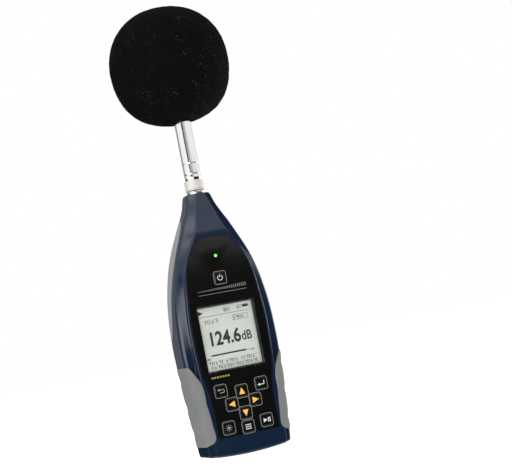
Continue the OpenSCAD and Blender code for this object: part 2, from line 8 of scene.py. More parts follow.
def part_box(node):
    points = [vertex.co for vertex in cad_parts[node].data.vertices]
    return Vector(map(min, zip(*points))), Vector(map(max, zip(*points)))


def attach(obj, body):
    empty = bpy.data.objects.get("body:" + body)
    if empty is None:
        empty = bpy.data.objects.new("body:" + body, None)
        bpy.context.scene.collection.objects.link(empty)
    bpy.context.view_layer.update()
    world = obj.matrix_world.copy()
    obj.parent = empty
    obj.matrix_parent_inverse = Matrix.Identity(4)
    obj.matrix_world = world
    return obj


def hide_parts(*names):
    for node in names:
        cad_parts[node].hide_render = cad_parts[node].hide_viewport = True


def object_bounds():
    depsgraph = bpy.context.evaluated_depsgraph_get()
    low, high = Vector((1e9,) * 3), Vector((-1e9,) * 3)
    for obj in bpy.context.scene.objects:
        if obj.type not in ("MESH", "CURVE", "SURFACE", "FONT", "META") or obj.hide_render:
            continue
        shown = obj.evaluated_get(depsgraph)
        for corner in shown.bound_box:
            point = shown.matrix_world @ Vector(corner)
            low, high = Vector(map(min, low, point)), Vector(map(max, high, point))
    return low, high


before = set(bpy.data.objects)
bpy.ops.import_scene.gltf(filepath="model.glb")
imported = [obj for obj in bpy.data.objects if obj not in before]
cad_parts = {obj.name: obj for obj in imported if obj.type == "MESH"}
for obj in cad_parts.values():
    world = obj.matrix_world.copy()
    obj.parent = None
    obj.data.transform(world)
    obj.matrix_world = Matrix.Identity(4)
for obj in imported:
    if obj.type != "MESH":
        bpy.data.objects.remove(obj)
cad_low, cad_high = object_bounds()

# Shapes are worked out in millimetres in the case's own coordinates: X and Y from the microphone's axis,
# Z up from the lowest point of the case, front towards -Y. place() takes them to the frame, in metres.
MM = 0.001


def mm_box(node):
    low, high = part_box(node)
    return low / MM, high / MM


front_low, front_high = mm_box("front_shell")
rear_low, rear_high = mm_box("rear_shell")
HALF_DEPTH = round((rear_high.y - front_low.y) / 2, 2)
BOTTOM = round(min(front_low.z, rear_low.z), 2)
BODY_H = round(front_high.z - BOTTOM, 2)


def case_box(node):
    low, high = mm_box(node)
    shift = Vector((0, HALF_DEPTH, -BOTTOM))
    return low + shift, high + shift


# ---- Curves of the case: (height, value) ----
SIDE = [(0, 33), (27, 35), (57, 37.2), (82, 38.2), (107, 37.3), (127, 34.5), (147, 29.2), (172, 18.8),
        (187, 12), (197, 9.3)]
FACE = [(0, 27.8), (60, 29.6), (97, 30.5), (117, 28.9), (132, 27.1), (147, 22.6), (164, 13.6), (173, 10.2),
        (197, 3.4)]
FRONT = [(0, 18), (140, 18), (167.5, 18), (197, 9.5)]
BACK = [(0, 18), (120, 18), (150, 17.2), (175, 12.2), (197, 9.5)]
STEP = [(0, 3.6), (70, 3.6), (84, 2.5), (125, 2.3), (150, 2.2), (163, 1.7), (176, 0.8), (197, 0.6)]
WALL = [(0, 0.2), (135, 0.2), (150, 0.8), (158, 0.9), (166, 0.55), (197, 0.55)]
SHOULDER = [(0, 15), (70, 15), (84, 13.7), (110, 13.4), (147, 12.2), (172, 9.8), (197, 4.7)]
OVERLAY = [(14.2, 24), (45, 24.6), (65, 27.9), (96, 29), (116, 27.6), (131, 26.2), (146, 22.2), (161, 12.9)]
TRIM = [(89, 8), (97, 1.4), (107, -2), (120, -3.5), (147, -7.4), (168, -6.1), (176, -2.8), (180.6, 2.6)]
GRIP_EDGE = [(45, 7.5), (33, 10.5), (26, 15), (26.6, 27), (28, 41), (28.3, 52), (30.1, 58.6), (32.4, 63),
             (34.5, 67), (37, 70), (45, 70.5)]
BOW_R = 240
SEAM = 6.5
COVER_TOP = 187
FACE_Y = -HALF_DEPTH
PLATE_Y = FACE_Y + 0.45
OVERLAY_Y = FACE_Y - 0.15
WALL_T = 2.4
INNER_Y = FACE_Y + WALL_T


def segment(curve, z):
    i = 0
    while i < len(curve) - 2 and z >= curve[i + 1][0]:
        i += 1
    return i


def slope(curve, i):
    a, b = max(i - 1, 0), min(i + 1, len(curve) - 1)
    return (curve[b][1] - curve[a][1]) / (curve[b][0] - curve[a][0])


def smooth(curve, z):
    """Value of a curve at a height, along cubic stretches between its points."""
    i = segment(curve, z)
    d = curve[i + 1][0] - curve[i][0]
    t = (z - curve[i][0]) / d
    u = 1 - t
    return (curve[i][1] * (1 + 2 * t) * u * u + slope(curve, i) * d * t * u * u
            + curve[i + 1][1] * (3 - 2 * t) * t * t - slope(curve, i + 1) * d * t * t * u)


def straight(curve, z):
    i = segment(curve, z)
    t = (z - curve[i][0]) / (curve[i + 1][0] - curve[i][0])
    return curve[i][1] * (1 - t) + curve[i + 1][1] * t


def corner_r(half_width):
    """Radius of the case's rear corners."""
    return min(7 + 4.5 * ramp((half_width - 20) / 14), half_width * 0.5)


def ramp(t):
    """0 below 0, 1 above 1, and smooth between."""
    t = min(max(t, 0), 1)
    return t * t * (3 - 2 * t)


def span(a, b, n):
    return [a + (b - a) * i / n for i in range(n + 1)]


def bow(x):
    return BOW_R - sqrt(BOW_R * BOW_R - x * x)


# ---- Mesh tools ----
def into_scene(ob):
    bpy.context.scene.collection.objects.link(ob)
    return ob


def evaluated_mesh(ob):
    bpy.context.view_layer.update()
    return bpy.data.meshes.new_from_object(ob.evaluated_get(bpy.context.evaluated_depsgraph_get()))


def dress(mesh, material):
    mesh.materials.clear()
    mesh.materials.append(material)


def tube_faces(rings, n):
    """Four-cornered faces between each two of the rings of n points."""
    return [(j * n + i, j * n + (i + 1) % n, (j + 1) * n + (i + 1) % n, (j + 1) * n + i)
            for j in range(rings - 1) for i in range(n)]


def mesh_object(name, verts, faces):
    mesh = bpy.data.meshes.new(name)
    mesh.from_pydata([tuple(v) for v in verts], [], faces)
    made = into_scene(bpy.data.objects.new(name, mesh))
    even_normals(made)
    return made


def even_normals(ob):
    bm = bmesh.new()
    bm.from_mesh(ob.data)
    bmesh.ops.recalc_face_normals(bm, faces=bm.faces)
    bm.to_mesh(ob.data)
    bm.free()


def loft(rings):
    """Closed solid through rings of equal length, with flat ends."""
    n = len(rings[0])
    verts = [p for ring in rings for p in ring]
    ends = [tuple(range(n)), tuple(range(len(verts) - n, len(verts)))]
    return mesh_object("loft", verts, tube_faces(len(rings), n) + ends)


def prism_y(outline, stations):
    """Solid along Y: stations are (y, grow), and outline(grow) gives the (x, z) points."""
    return loft([[(x, y, z) for x, z in outline(grow)] for y, grow in stations])


def polygon_y(points, y0, y1):
    return prism_y(lambda grow: points, [(y0, 0), (y1, 0)])


def block(x0, x1, y0, y1, z0, z1):
    return polygon_y([(x0, z0), (x1, z0), (x1, z1), (x0, z1)], y0, y1)


def polar(x, z, r, degrees):
    return x + r * cos(radians(degrees)), z + r * sin(radians(degrees))


def circle(cx, cz, r, n=48):
    return [(cx + r * cos(tau * i / n), cz + r * sin(tau * i / n)) for i in range(n)]


def rod_y(x, z, stations, n=48):
    """Round solid along Y: stations are (y, radius)."""
    return prism_y(lambda r: circle(x, z, r, n), stations)


def rod_z(x, y, stations, n=48):
    return loft([[(px, py, z) for px, py in circle(x, y, r, n)] for z, r in stations])


def rod_x(y, z, r, x0, x1):
    return loft([[(x, py, pz) for py, pz in circle(y, z, r)] for x in (x0, x1)])


def joined(parts):
    """One object from several that don't touch."""
    first = parts[0]
    bm = bmesh.new()
    for part in parts:
        bm.from_mesh(part.data)
    bm.to_mesh(first.data)
    bm.free()
    for part in parts[1:]:
        bpy.data.objects.remove(part)
    return first


def mirrored(ob):
    """The same shape on the other side of X = 0."""
    copy = into_scene(ob.copy())
    copy.data = ob.data.copy()
    copy.data.transform(Matrix.Scale(-1, 4, (1, 0, 0)))
    even_normals(copy)
    return copy


def cut(ob, cutter, operation="DIFFERENCE"):
    modifier = ob.modifiers.new("cut", "BOOLEAN")
    modifier.operation = operation
    modifier.object = cutter
    modifier.solver = "EXACT"
    result = evaluated_mesh(ob)
    ob.modifiers.clear()
    ob.data = result
    bpy.data.objects.remove(cutter)
    return ob


def place(ob, name, body, slot, material, *replaced, sharp=32):
    """Finishes a piece: its name, its place in the frame, its shading, its material and what it rides on."""
    ob.name = name
    ob.data.name = name
    ob.data.transform(Matrix.Translation((0, -HALF_DEPTH * MM, BOTTOM * MM)) @ Matrix.Scale(MM, 4))
    ob.data.shade_smooth()
    ob.data.set_sharp_from_angle(angle=radians(sharp))
    dress(ob.data, material)
    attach(ob, body)
    if replaced:
        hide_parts(*replaced)
    return ob


# ---- Materials ----
def linear(hex_colour):
    """A colour written as six hex digits, in linear light."""
    values = [int(hex_colour[i:i + 2], 16) / 255 for i in (0, 2, 4)]
    return [v / 12.92 if v <= 0.04045 else ((v + 0.055) / 1.055) ** 2.4 for v in values] + [1]


def scaled(colour, k):
    return [min(c * k, 1) for c in colour[:3]] + [1]


class Shader:
    """Builds one Principled material out of noise-driven nodes."""

    def __init__(self, name, metallic=0.0, specular=0.5, coat=0.0, coat_rough=0.1, alpha=1.0):
        self.material = bpy.data.materials.new(name)
        self.material.use_nodes = True
        self.tree = self.material.node_tree
        self.tree.nodes.clear()
        self.main = self.node("BsdfPrincipled", {
            "Metallic": metallic, "Specular IOR Level": specular, "Coat Weight": coat,
            "Coat Roughness": coat_rough, "Alpha": alpha})
        self.node("OutputMaterial", {"Surface": self.main.outputs[0]})
        self.coords = self.node("TexCoord", {}).outputs["Object"]

    def node(self, kind, inputs, **settings):
        made = self.tree.nodes.new("ShaderNode" + kind)
        for name, value in settings.items():
            setattr(made, name, value)
        self.feed(made, inputs)
        return made

    def feed(self, node, inputs):
        """Links each input to another node's output, or sets it to a constant."""
        for name, value in inputs.items():
            if isinstance(value, bpy.types.NodeSocket):
                self.tree.links.new(value, node.inputs[name])
            else:
                node.inputs[name].default_value = value

    def stretched(self, factors, turn=(0, 0, 0)):
        return self.node("Mapping", {"Vector": self.coords, "Scale": factors, "Rotation": turn}).outputs[0]

    def noise(self, size_mm, detail=2.0, factors=None, roughness=0.5):
        return self.node("TexNoise", {
            "Scale": 1000 / size_mm, "Detail": detail, "Roughness": roughness,
            "Vector": self.stretched(factors) if factors else self.coords}).outputs[0]

    def cells(self, size_mm):
        return self.node("TexVoronoi", {"Scale": 1000 / size_mm, "Vector": self.coords}).outputs["Distance"]

    def remap(self, value, low, high, to_low=0.0, to_high=1.0):
        return self.node("MapRange", {"Value": value, "From Min": low, "From Max": high, "To Min": to_low,
                                      "To Max": to_high}).outputs[0]

    def mix(self, factor, a, b):
        return self.node("Mix", {"Factor": factor, "A": a, "B": b}, data_type="RGBA").outputs["Result"]

    def clouded(self, clouds, a, b):
        """Drifts from one colour to another with a noise."""
        return self.mix(self.remap(clouds, 0.3, 0.7), a, b)

    def math(self, operation, a, b):
        return self.node("Math", {0: a, 1: b}, operation=operation).outputs[0]

    def worn(self, colour, lighter, amount):
        """Rubs the raised edges towards a lighter colour."""
        edge = self.remap(self.node("NewGeometry", {}).outputs["Pointiness"], 0.515, 0.58, 0, amount)
        return self.mix(edge, colour, lighter)

    def bump(self, height, depth_mm):
        return self.node("Bump", {"Height": height, "Strength": 1, "Distance": depth_mm * MM}).outputs[0]

    def glow(self, colour, strength):
        self.feed(self.main, {"Emission Color": colour, "Emission Strength": strength})

    def finish(self, colour, rough, normal=None):
        self.feed(self.main, {"Base Color": colour, "Roughness": rough})
        if normal is not None:
            self.feed(self.main, {"Normal": normal})
        return self.material


def moulded(name, colour, rough, spread=0.05, mottle=0.08, grain_mm=0.5, grain=0.012, wear=0.0, **sockets):
    """Plastic, rubber or paint: cloudy colour, a fine moulded grain and rubbed edges."""
    s = Shader(name, **sockets)
    base = linear(colour)
    clouds = s.noise(14, 4)
    speckle = s.noise(grain_mm, 2)
    tint = s.clouded(clouds, scaled(base, 1 - mottle), scaled(base, 1 + mottle))
    tint = s.mix(s.remap(speckle, 0.35, 0.75, 0, 0.35), tint, scaled(base, 1 - 1.5 * mottle))
    if wear:
        tint = s.worn(tint, scaled(base, 1 + 6 * wear), wear)
    roughness = s.remap(s.math("ADD", clouds, speckle), 0.7, 1.3, rough - spread, rough + spread)
    return s.finish(tint, roughness, s.bump(speckle, grain))


def turned_metal(name, colour, rough, line_mm=0.12, depth=0.004, axis="z", stain=0.06, metallic=1.0):
    """Metal with the fine rings that a lathe leaves round its axis."""
    s = Shader(name, metallic=metallic)
    base = linear(colour)
    rings = s.noise(line_mm, 3, [1 if letter == axis else 0.02 for letter in "xyz"])
    clouds = s.noise(6, 3)
    tint = s.clouded(clouds, scaled(base, 1 - stain), base)
    roughness = s.remap(s.math("ADD", rings, clouds), 0.7, 1.3, rough * 0.8, rough * 1.25)
    return s.finish(tint, roughness, s.bump(rings, depth))


def sheet_metal(name, colour, rough):
    """Rolled and plated sheet, with faint scratches and stains."""
    s = Shader(name, metallic=1.0)
    base = linear(colour)
    tint = s.clouded(s.noise(3, 4), scaled(base, 0.86), base)
    scratches = s.noise(0.25, 3, (1, 0.05, 0.3))
    return s.finish(tint, s.remap(scratches, 0.3, 0.7, rough * 0.7, rough * 1.3), s.bump(scratches, 0.004))


def foam():
    """Open-cell foam: near black, with painted shade in its pits and torn cell walls painted lighter as a
    painted highlight where they catch a little light.
    """
    s = Shader("foam", specular=0.03)
    fine = s.noise(0.4, 3, roughness=0.7)
    height = s.math("ADD", s.math("MULTIPLY", s.cells(0.75), 0.8), s.math("MULTIPLY", fine, 0.6))
    # Painted shade: the pits between the cell walls are tinted darker than the raised walls.
    tint = s.mix(s.remap(height, 0.35, 0.95), linear("020202"), linear("0e0e0d"))
    # Painted highlight: scattered flecks of torn cell wall painted pale grey where they catch light.
    lit_fibres = s.remap(s.noise(1.1, 1), 0.66, 0.74)
    clumps = s.remap(s.noise(16, 3), 0.45, 0.62)
    tint = s.mix(s.math("MULTIPLY", lit_fibres, clumps), tint, linear("40403d"))
    return s.finish(tint, s.remap(fine, 0.3, 0.7, 0.85, 1.0), s.bump(height, 0.5))


def board_lacquer():
    """Green solder mask over copper tracks."""
    s = Shader("board_lacquer", coat=0.3, coat_rough=0.2)
    tracks = s.node("TexBrick", {
        "Vector": s.coords, "Scale": 220, "Mortar Size": 0.06, "Color1": linear("175c33"),
        "Color2": linear("1b6438"), "Mortar": linear("2f8650")})
    clouds = s.noise(5, 3)
    tint = s.mix(s.remap(clouds, 0.3, 0.8, 0, 0.5), tracks.outputs["Color"], linear("114527"))
    return s.finish(tint, s.remap(clouds, 0.3, 0.7, 0.3, 0.45), s.bump(tracks.outputs["Fac"], 0.03))


def display_glass():
    """Reflective monochrome glass, lit a little from behind, with its grid of dots."""
    s = Shader("display_glass", specular=0.4)
    dots = s.node("TexBrick", {
        "Vector": s.stretched((1, 1, 1), (radians(90), 0, 0)), "Scale": 1000 / 0.7, "Brick Width": 0.5,
        "Row Height": 0.5, "Mortar Size": 0.03, "Color1": linear("b1b5ae"), "Color2": linear("afb3ac"),
        "Mortar": linear("a6aaa2")}, offset=0)
    clouds = s.noise(22, 2)
    tint = s.mix(s.remap(clouds, 0.3, 0.7, 0, 0.5), dots.outputs["Color"], linear("bcc0b9"))
    s.glow(tint, 0.1)
    return s.finish(tint, s.remap(clouds, 0.3, 0.7, 0.4, 0.5))


def hazy(name, size_mm, detail, dark, light, smoothest, roughest, glow=0.0, **sockets):
    """Clear plastic with a faint haze in it."""
    s = Shader(name, **sockets)
    haze = s.noise(size_mm, detail)
    tint = s.clouded(haze, linear(dark), linear(light))
    if glow:
        s.glow(tint, glow)
    return s.finish(tint, s.remap(haze, 0.3, 0.7, smoothest, roughest))


def printed(name, colour, rough=0.5):
    """Screen-printed ink: slightly uneven, with soft dots."""
    s = Shader(name, specular=0.4)
    base = linear(colour)
    blotch = s.noise(0.9, 3)
    tint = s.mix(s.remap(blotch, 0.3, 0.75), base, scaled(base, 0.86))
    return s.finish(tint, s.remap(blotch, 0.3, 0.7, rough - 0.06, rough + 0.06), s.bump(blotch, 0.004))


NAVY = moulded("case_plastic", "0b1c31", 0.2, spread=0.03, wear=0.1, grain=0.003, mottle=0.1)
GRIP = moulded("grip_rubber", "696b6b", 0.74, wear=0.1, grain_mm=0.35, grain=0.03, mottle=0.05, specular=0.35)
TRIM_GREY = moulded("trim_rubber", "7f8181", 0.66, wear=0.1, grain_mm=0.4, grain=0.02, mottle=0.05)
PANEL = moulded("overlay_film", "0a0b0a", 0.2, spread=0.03, grain_mm=0.25, grain=0.001, mottle=0.12,
                specular=0.3)
KEY_BLACK = moulded("key_silicone", "0b0c0c", 0.22, grain_mm=0.3, grain=0.002, mottle=0.12, wear=0.2)
BLACK = moulded("black_plastic", "17181a", 0.5)
SOCKET_BLACK = moulded("jack_plastic", "101112", 0.45)
INK_GREY = printed("ink_grey", "85857f")
INK_WHITE = printed("ink_white", "c4c6c2")
INK_AMBER = printed("ink_amber", "e4ae45")
INK_DULL = printed("ink_amber_dull", "8f7f31")
LCD_DARK = printed("display_segments", "0c0f0f", 0.55)
LCD_GREY = printed("display_segments_pale", "2b302e", 0.55)
MASK = moulded("window_print", "0a0b0b", 0.3, grain=0.002)
GLASS = display_glass()
WINDOW = hazy("window_plastic", 9, 3, "8d9390", "a3a9a6", 0.04, 0.09, alpha=0.04)
GREEN_LIGHT = hazy("light_pipe", 1.2, 2, "4fce4a", "86f06c", 0.2, 0.35, glow=0.75)
DIFFUSER = moulded("diffuser", "e8eae6", 0.5, mottle=0.02)
DOME_RUBBER = moulded("keypad_rubber", "5b6064", 0.7, grain_mm=0.3, grain=0.01)
BOARD = board_lacquer()
GOLD = sheet_metal("contact_gold", "d8b04a", 0.28)
TIN = sheet_metal("tinned_steel", "b4b8ba", 0.35)
NICKEL = turned_metal("nickel_plate", "cfd0cf", 0.22)
STAINLESS = turned_metal("stainless_tube", "f0f0ef", 0.12, line_mm=0.2, depth=0.0006, stain=0.03)
SATIN = turned_metal("satin_nut", "cdc8c2", 0.5, line_mm=0.15, depth=0.002, stain=0.04, metallic=0.35)
MIC_METAL = turned_metal("microphone_metal", "b9bbbc", 0.24)
MIC_PLATE = turned_metal("back_plate", "caa64a", 0.3)
CERAMIC = moulded("ceramic", "e9e4d8", 0.35, grain_mm=0.2, grain=0.004)
FOAM = foam()
JACKET = moulded("cell_jacket_black", "16171a", 0.32, coat=0.3)
JACKET_BAND = turned_metal("cell_jacket_copper", "b9783c", 0.3)
BRASS = turned_metal("insert_brass", "b88d3f", 0.3, axis="y")
SCREW = turned_metal("screw_steel", "8a8d90", 0.32, axis="y")


# ---- Case ----
def rounded_path(corners, steps):
    """Points along a path of (x, y, radius, arc steps) corners, with a round bend at each inner corner."""
    points = [Vector(c[:2]) for c in corners]
    lengths = [(b - a).length for a, b in zip(points, points[1:])]
    reach = [0.0] * len(corners)
    for i in range(1, len(corners) - 1):
        if corners[i][3]:
            a = (points[i] - points[i - 1]).normalized()
            b = (points[i + 1] - points[i]).normalized()
            half_turn = max(a.angle(b) / 2, 1e-4)
            room = [0.98 * corners[i][2] / (corners[i][2] + corners[k][2]) for k in (i - 1, i + 1)]
            reach[i] = min(corners[i][2] * tan(half_turn), room[0] * lengths[i - 1], room[1] * lengths[i])
    path = [points[0]]
    for i in range(1, len(corners)):
        towards = (points[i] - points[i - 1]).normalized()
        start = points[i - 1] + towards * reach[i - 1]
        stop = points[i] - towards * reach[i]
        path += [start.lerp(stop, (k + 1) / steps[i - 1]) for k in range(steps[i - 1])]
        if reach[i]:
            onward = (points[i + 1] - points[i]).normalized()
            half_turn = max(towards.angle(onward) / 2, 1e-4)
            radius = reach[i] / tan(half_turn)
            side = Vector((-towards.y, towards.x))
            if side.dot(onward) < 0:
                side = -side
            centre = stop + side * radius
            for k in range(1, corners[i][3] + 1):
                turn = 2 * half_turn * k / corners[i][3]
                path.append(centre - side * radius * cos(turn) + towards * radius * sin(turn))
    return path


ROW_STEPS = 15
CORNER_STEPS = 10


def case_half(z, inset=0.0):
    """Right half of the case's section, from the middle of the front round to the middle of the back."""
    side = smooth(SIDE, z) - inset
    front = straight(FRONT, z) - inset
    back = smooth(BACK, z) - inset
    face = smooth(FACE, z) - 0.6 * inset
    step = straight(STEP, z)
    wall = straight(WALL, z) * step
    shoulder = straight(SHOULDER, z) - 0.5 * inset
    corner = corner_r(side + inset)
    groove_y = min(SEAM, back - corner - 0.7)
    groove = 0.3 * ramp((181 - z) / 3)
    corners = [(0, -front, 0, 0), (face, -front, 0.8, 6), (face + wall, step - front, 0.9, 5),
               (side, -shoulder, 3, 8), (side, groove_y - 0.35, 0, 0), (side - groove, groove_y, 0, 0),
               (side, groove_y + 0.35, 0, 0), (side, back, corner, CORNER_STEPS), (0, back, 0, 0)]
    return rounded_path(corners, [ROW_STEPS - 3, 2, 5, 4, 1, 1, 3, ROW_STEPS - CORNER_STEPS // 2])


def case_ring(z, inset=0.0, height=None):
    """Whole section as a ring, bowed near the foot."""
    half = case_half(z, inset)
    whole = half + [Vector((-p.x, p.y)) for p in half[-2:0:-1]]
    level = z if height is None else height
    droop = max(0, 1 - level / 14)
    return [(p.x, p.y, level + bow(p.x) * droop) for p in whole]


def rounded_end(radius, steps):
    """(distance from the end, inset) along a quarter round."""
    return [(radius * (1 - cos(a)), radius * (1 - sin(a))) for a in span(0, pi / 2, steps)]


def case_solid():
    """The whole outside of the case, closed at both ends, with its edges rounded."""
    foot = [case_ring(0, inset, d) for d, inset in rounded_end(1.6, 6)]
    head = [case_ring(BODY_H, inset, BODY_H - d) for d, inset in reversed(rounded_end(0.9, 5))]
    rings = foot + [case_ring(z) for z in span(3.5, 195, 128)] + head
    n = len(rings[0])
    verts = [p for ring in rings for p in ring]
    faces = tube_faces(len(rings), n) + [tuple(range(len(verts) - n, len(verts)))]
    # The foot is a sheet across the lowest ring, bowed like its edge
    half, wide = n // 2, 2 * ROW_STEPS
    deep = half - wide
    row = [u % n for u in range(-ROW_STEPS, ROW_STEPS + 1)]
    back = [half + ROW_STEPS - u for u in range(wide + 1)]
    left = [(n - ROW_STEPS - v) % n for v in range(deep + 1)]
    right = [ROW_STEPS + v for v in range(deep + 1)]
    ring = [Vector(p[:2]) for p in foot[0]]
    grid = {(u, v): line[u] for v, line in ((0, row), (deep, back)) for u in range(wide + 1)}
    grid.update({(u, v): line[v] for u, line in ((0, left), (wide, right)) for v in range(deep + 1)})
    for u in range(1, wide):
        for v in range(1, deep):
            a, b = u / wide, v / deep
            p = (ring[row[u]] * (1 - b) + ring[back[u]] * b + ring[left[v]] * (1 - a) + ring[right[v]] * a
                 - ring[row[0]] * (1 - a) * (1 - b) - ring[row[-1]] * a * (1 - b)
                 - ring[back[0]] * (1 - a) * b - ring[back[-1]] * a * b)
            grid[u, v] = len(verts)
            verts.append((p.x, p.y, bow(p.x)))
    faces += [(grid[u, v], grid[u + 1, v], grid[u + 1, v + 1], grid[u, v + 1])
              for u in range(wide) for v in range(deep)]
    return mesh_object("case", verts, faces)


def offset_outline(points, grow):
    """The closed outline moved outward by grow."""
    moved = []
    area = sum(a[0] * b[1] - b[0] * a[1] for a, b in zip(points, points[1:] + points[:1]))
    sign = 1 if area > 0 else -1
    for i, (x, z) in enumerate(points):
        before, after = Vector(points[i - 1]), Vector(points[(i + 1) % len(points)])
        a = (Vector((x, z)) - before).normalized()
        b = (after - Vector((x, z))).normalized()
        na, nb = Vector((a.y, -a.x)) * sign, Vector((b.y, -b.x)) * sign
        normal = (na + nb).normalized()
        reach = grow / max(normal.dot(na), 0.5)
        moved.append((x + normal.x * reach, z + normal.y * reach))
    return moved


def both_sides(right):
    return right + [(-x, z) for x, z in reversed(right)]


def rounded_square(cx, cz, w, h, r, n=8):
    points = []
    for corner, (sx, sz) in enumerate([(1, 1), (-1, 1), (-1, -1), (1, -1)]):
        points += [polar(cx + sx * (w / 2 - r), cz + sz * (h / 2 - r), r, a)
                   for a in span(corner * 90, corner * 90 + 90, n)]
    return points


def cavity(z_low, z_high, y0, y1, inset=0.0):
    """Hollow of the case between two heights, inside walls that are a little thinner behind the grips."""
    walls = [(smooth(SIDE, z) - (3.2 if z < 72 else 3.6) - inset, z) for z in span(z_low, z_high, 40)]
    return polygon_y(both_sides(walls), y0, y1)


def overlay_outline(grow):
    low, high = OVERLAY[0], OVERLAY[-1]
    edge = [(smooth(OVERLAY, z), z) for z in span(low[0], high[0], 60)]
    crown = [(high[1] * cos(radians(a)), high[0] + 1.6 * sin(radians(a))) for a in range(15, 90, 15)]
    return offset_outline(both_sides(edge + crown), grow)


def grip_outline(grow):
    """Edge of the right grip seen from the front, as a smooth line through its points."""
    points = [Vector(p) for p in GRIP_EDGE]
    line = []
    for i in range(len(points) - 1):
        a, b = points[i], points[i + 1]
        before = points[i - 1] if i else a
        after = points[i + 2] if i + 2 < len(points) else b
        for k in range(6):
            t = k / 6
            line.append(0.5 * ((2 * a) + (b - before) * t + (2 * before - 5 * a + 4 * b - after) * t * t
                               + (3 * a - before - 3 * b + after) * t ** 3))
    line.append(points[-1])
    return offset_outline([(p.x, p.y) for p in line], grow)


GRIP_LINE = [Vector(p) for p in grip_outline(0)]


def edge_drop(x, z):
    """How far the grip falls away near its edge."""
    width, depth = 1.8, 0.7
    p = Vector((x, z))
    nearest = width
    for a, b in zip(GRIP_LINE, GRIP_LINE[1:]):
        along = b - a
        t = min(max((p - a).dot(along) / max(along.length_squared, 1e-9), 0), 1)
        nearest = min(nearest, (p - a - along * t).length)
    return depth * (1 - nearest / width) ** 2


def grip_wave(z):
    """Finger grooves across the grip."""
    return -0.55 * sum(exp(-((z - groove) / 3.2) ** 2) for groove in (20.5, 40.5, 60.5))


def rear_corner(z, grow, angles):
    h, b = smooth(SIDE, z), smooth(BACK, z)
    k = corner_r(h)
    return [polar(h - k, b - k, k + grow, a) for a in angles]


def grip_section(z, grow, soft):
    """Section of the grip at a height: its front face, its round front edge and the case's rear corner."""
    half = smooth(SIDE, z)
    rx, ry = 8.5, 6
    wavy = grow + (grip_wave(z) if soft else 0)
    lines = [lambda g, x=x: (x, -HALF_DEPTH - g) for x in span(18, half - rx, 10)[:-1]]
    lines += [lambda g, a=a: (half - rx + (rx + g) * cos(a), -HALF_DEPTH + ry + (ry + g) * sin(a))
              for a in span(-pi / 2, 0, 12)]
    points = [point_at(wavy - (edge_drop(point_at(grow)[0], z) if soft else 0)) for point_at in lines]
    for a in span(0, 40, 6):
        points += rear_corner(z, wavy - (0.6 * ramp((a - 30) / 10) if soft else 0), [a])
    return points


def grip_solid(outer, inner, soft):
    rings = []
    for z in span(4, 76, 80):
        section = grip_section(z, outer, soft) + grip_section(z, -inner, False)[::-1]
        rings.append([(x, y, z) for x, y in section])
    return loft(rings)


def grip_piece():
    return cut(grip_solid(0.3, 1.95, True), prism_y(grip_outline, [(-40, -0.12), (40, -0.12)]), "INTERSECT")


def grip_pocket():
    return cut(grip_solid(6, 2, False), prism_y(grip_outline, [(-40, 0), (40, 0)]), "INTERSECT")


def trim_solid(outer, inner, soft):
    """Grey strip along the upper side, from its front edge round the rear corner."""
    rings = []
    z_low, z_high = TRIM[0][0], TRIM[-1][0]
    for z in span(z_low, z_high, 90):
        h, y = smooth(SIDE, z), smooth(TRIM, z)
        start = smooth(BACK, z) - corner_r(h)
        end_drop = 0.5 * (1 - ramp(min(z - z_low, z_high - z) / 2)) if soft else 0
        y += 0.1 if soft else 0
        outside = []
        for t in span(0, 1, 8):
            drop = 0.45 * (1 - ramp(t * (start - y) / 1.2)) if soft else 0
            outside.append((h + outer - drop - end_drop, y + (start - y) * t))
        for a in span(5, 40, 6):
            drop = 0.45 * ramp((a - 32) / 8) if soft else 0
            outside += rear_corner(z, outer - drop - end_drop, [a])
        inside = [(h - inner, y + (start - y) * t) for t in span(0, 1, 8)]
        inside += rear_corner(z, -inner, span(5, 40, 6))
        rings.append([(px, py, z) for px, py in outside + inside[::-1]])
    return loft(rings)


def trim_piece():
    return trim_solid(0.05, 1.2, True)


def side_pockets():
    """Recesses for the grips and the trim, on both sides."""
    return [pocket for right in (grip_pocket(), trim_solid(3, 1.25, False))
            for pocket in (right, mirrored(right))]


SCREWS = [(s * x, z) for s in (-1, 1) for x, z in ((24.4, 13), (17.5, 152))]


def middle(node):
    """Centre of a node seen from the front."""
    low, high = case_box(node)
    return (low.x + high.x) / 2, (low.z + high.z) / 2


KEYS = {name: middle("key_" + name)
        for name in ("power", "escape", "enter", "up", "down", "left", "right", "light", "menu", "run")}
KEY_W = 8.8
KEY_R = 1.5
KEY_GAP = 0.15
pane_low, pane_high = case_box("display_window")
WINDOW_Z = middle("display_window")[1]
WINDOW_W = pane_high.x - pane_low.x + 0.1
WINDOW_H = pane_high.z - pane_low.z + 0.1
LED_Z = middle("led_light_pipe")[1]
LED_R = 1.3
LEDGE_Y = -16.9
JACK_X, JACK_Y = 17, -6.1
USB_X, CARD_X = -6.2, 6.2
STEM_HOLE_R = 5.55
SCREW_SEAT = 10.4
FLOOR_TOP = 4
HOLLOW_TOP = 170
HOLLOW_FRONT = -11.2
# Clear of the case on every side, above and below it, and in front of it
BESIDE, ABOVE, BELOW, BEFORE = 60, 260, -5, -20


def window_outline(grow):
    w, h = WINDOW_W / 2 + grow, WINDOW_H / 2 + grow
    return [(-w, WINDOW_Z - h), (w, WINDOW_Z - h), (w, WINDOW_Z + h), (-w, WINDOW_Z + h)]


def key_prism(name, stations, share=1.0):
    """Rounded square solid on a key's centre, whose corner radius takes a share of its growth."""
    x, z = KEYS[name]
    return prism_y(lambda g: rounded_square(x, z, KEY_W + 2 * g, KEY_W + 2 * g, KEY_R + g * share), stations)


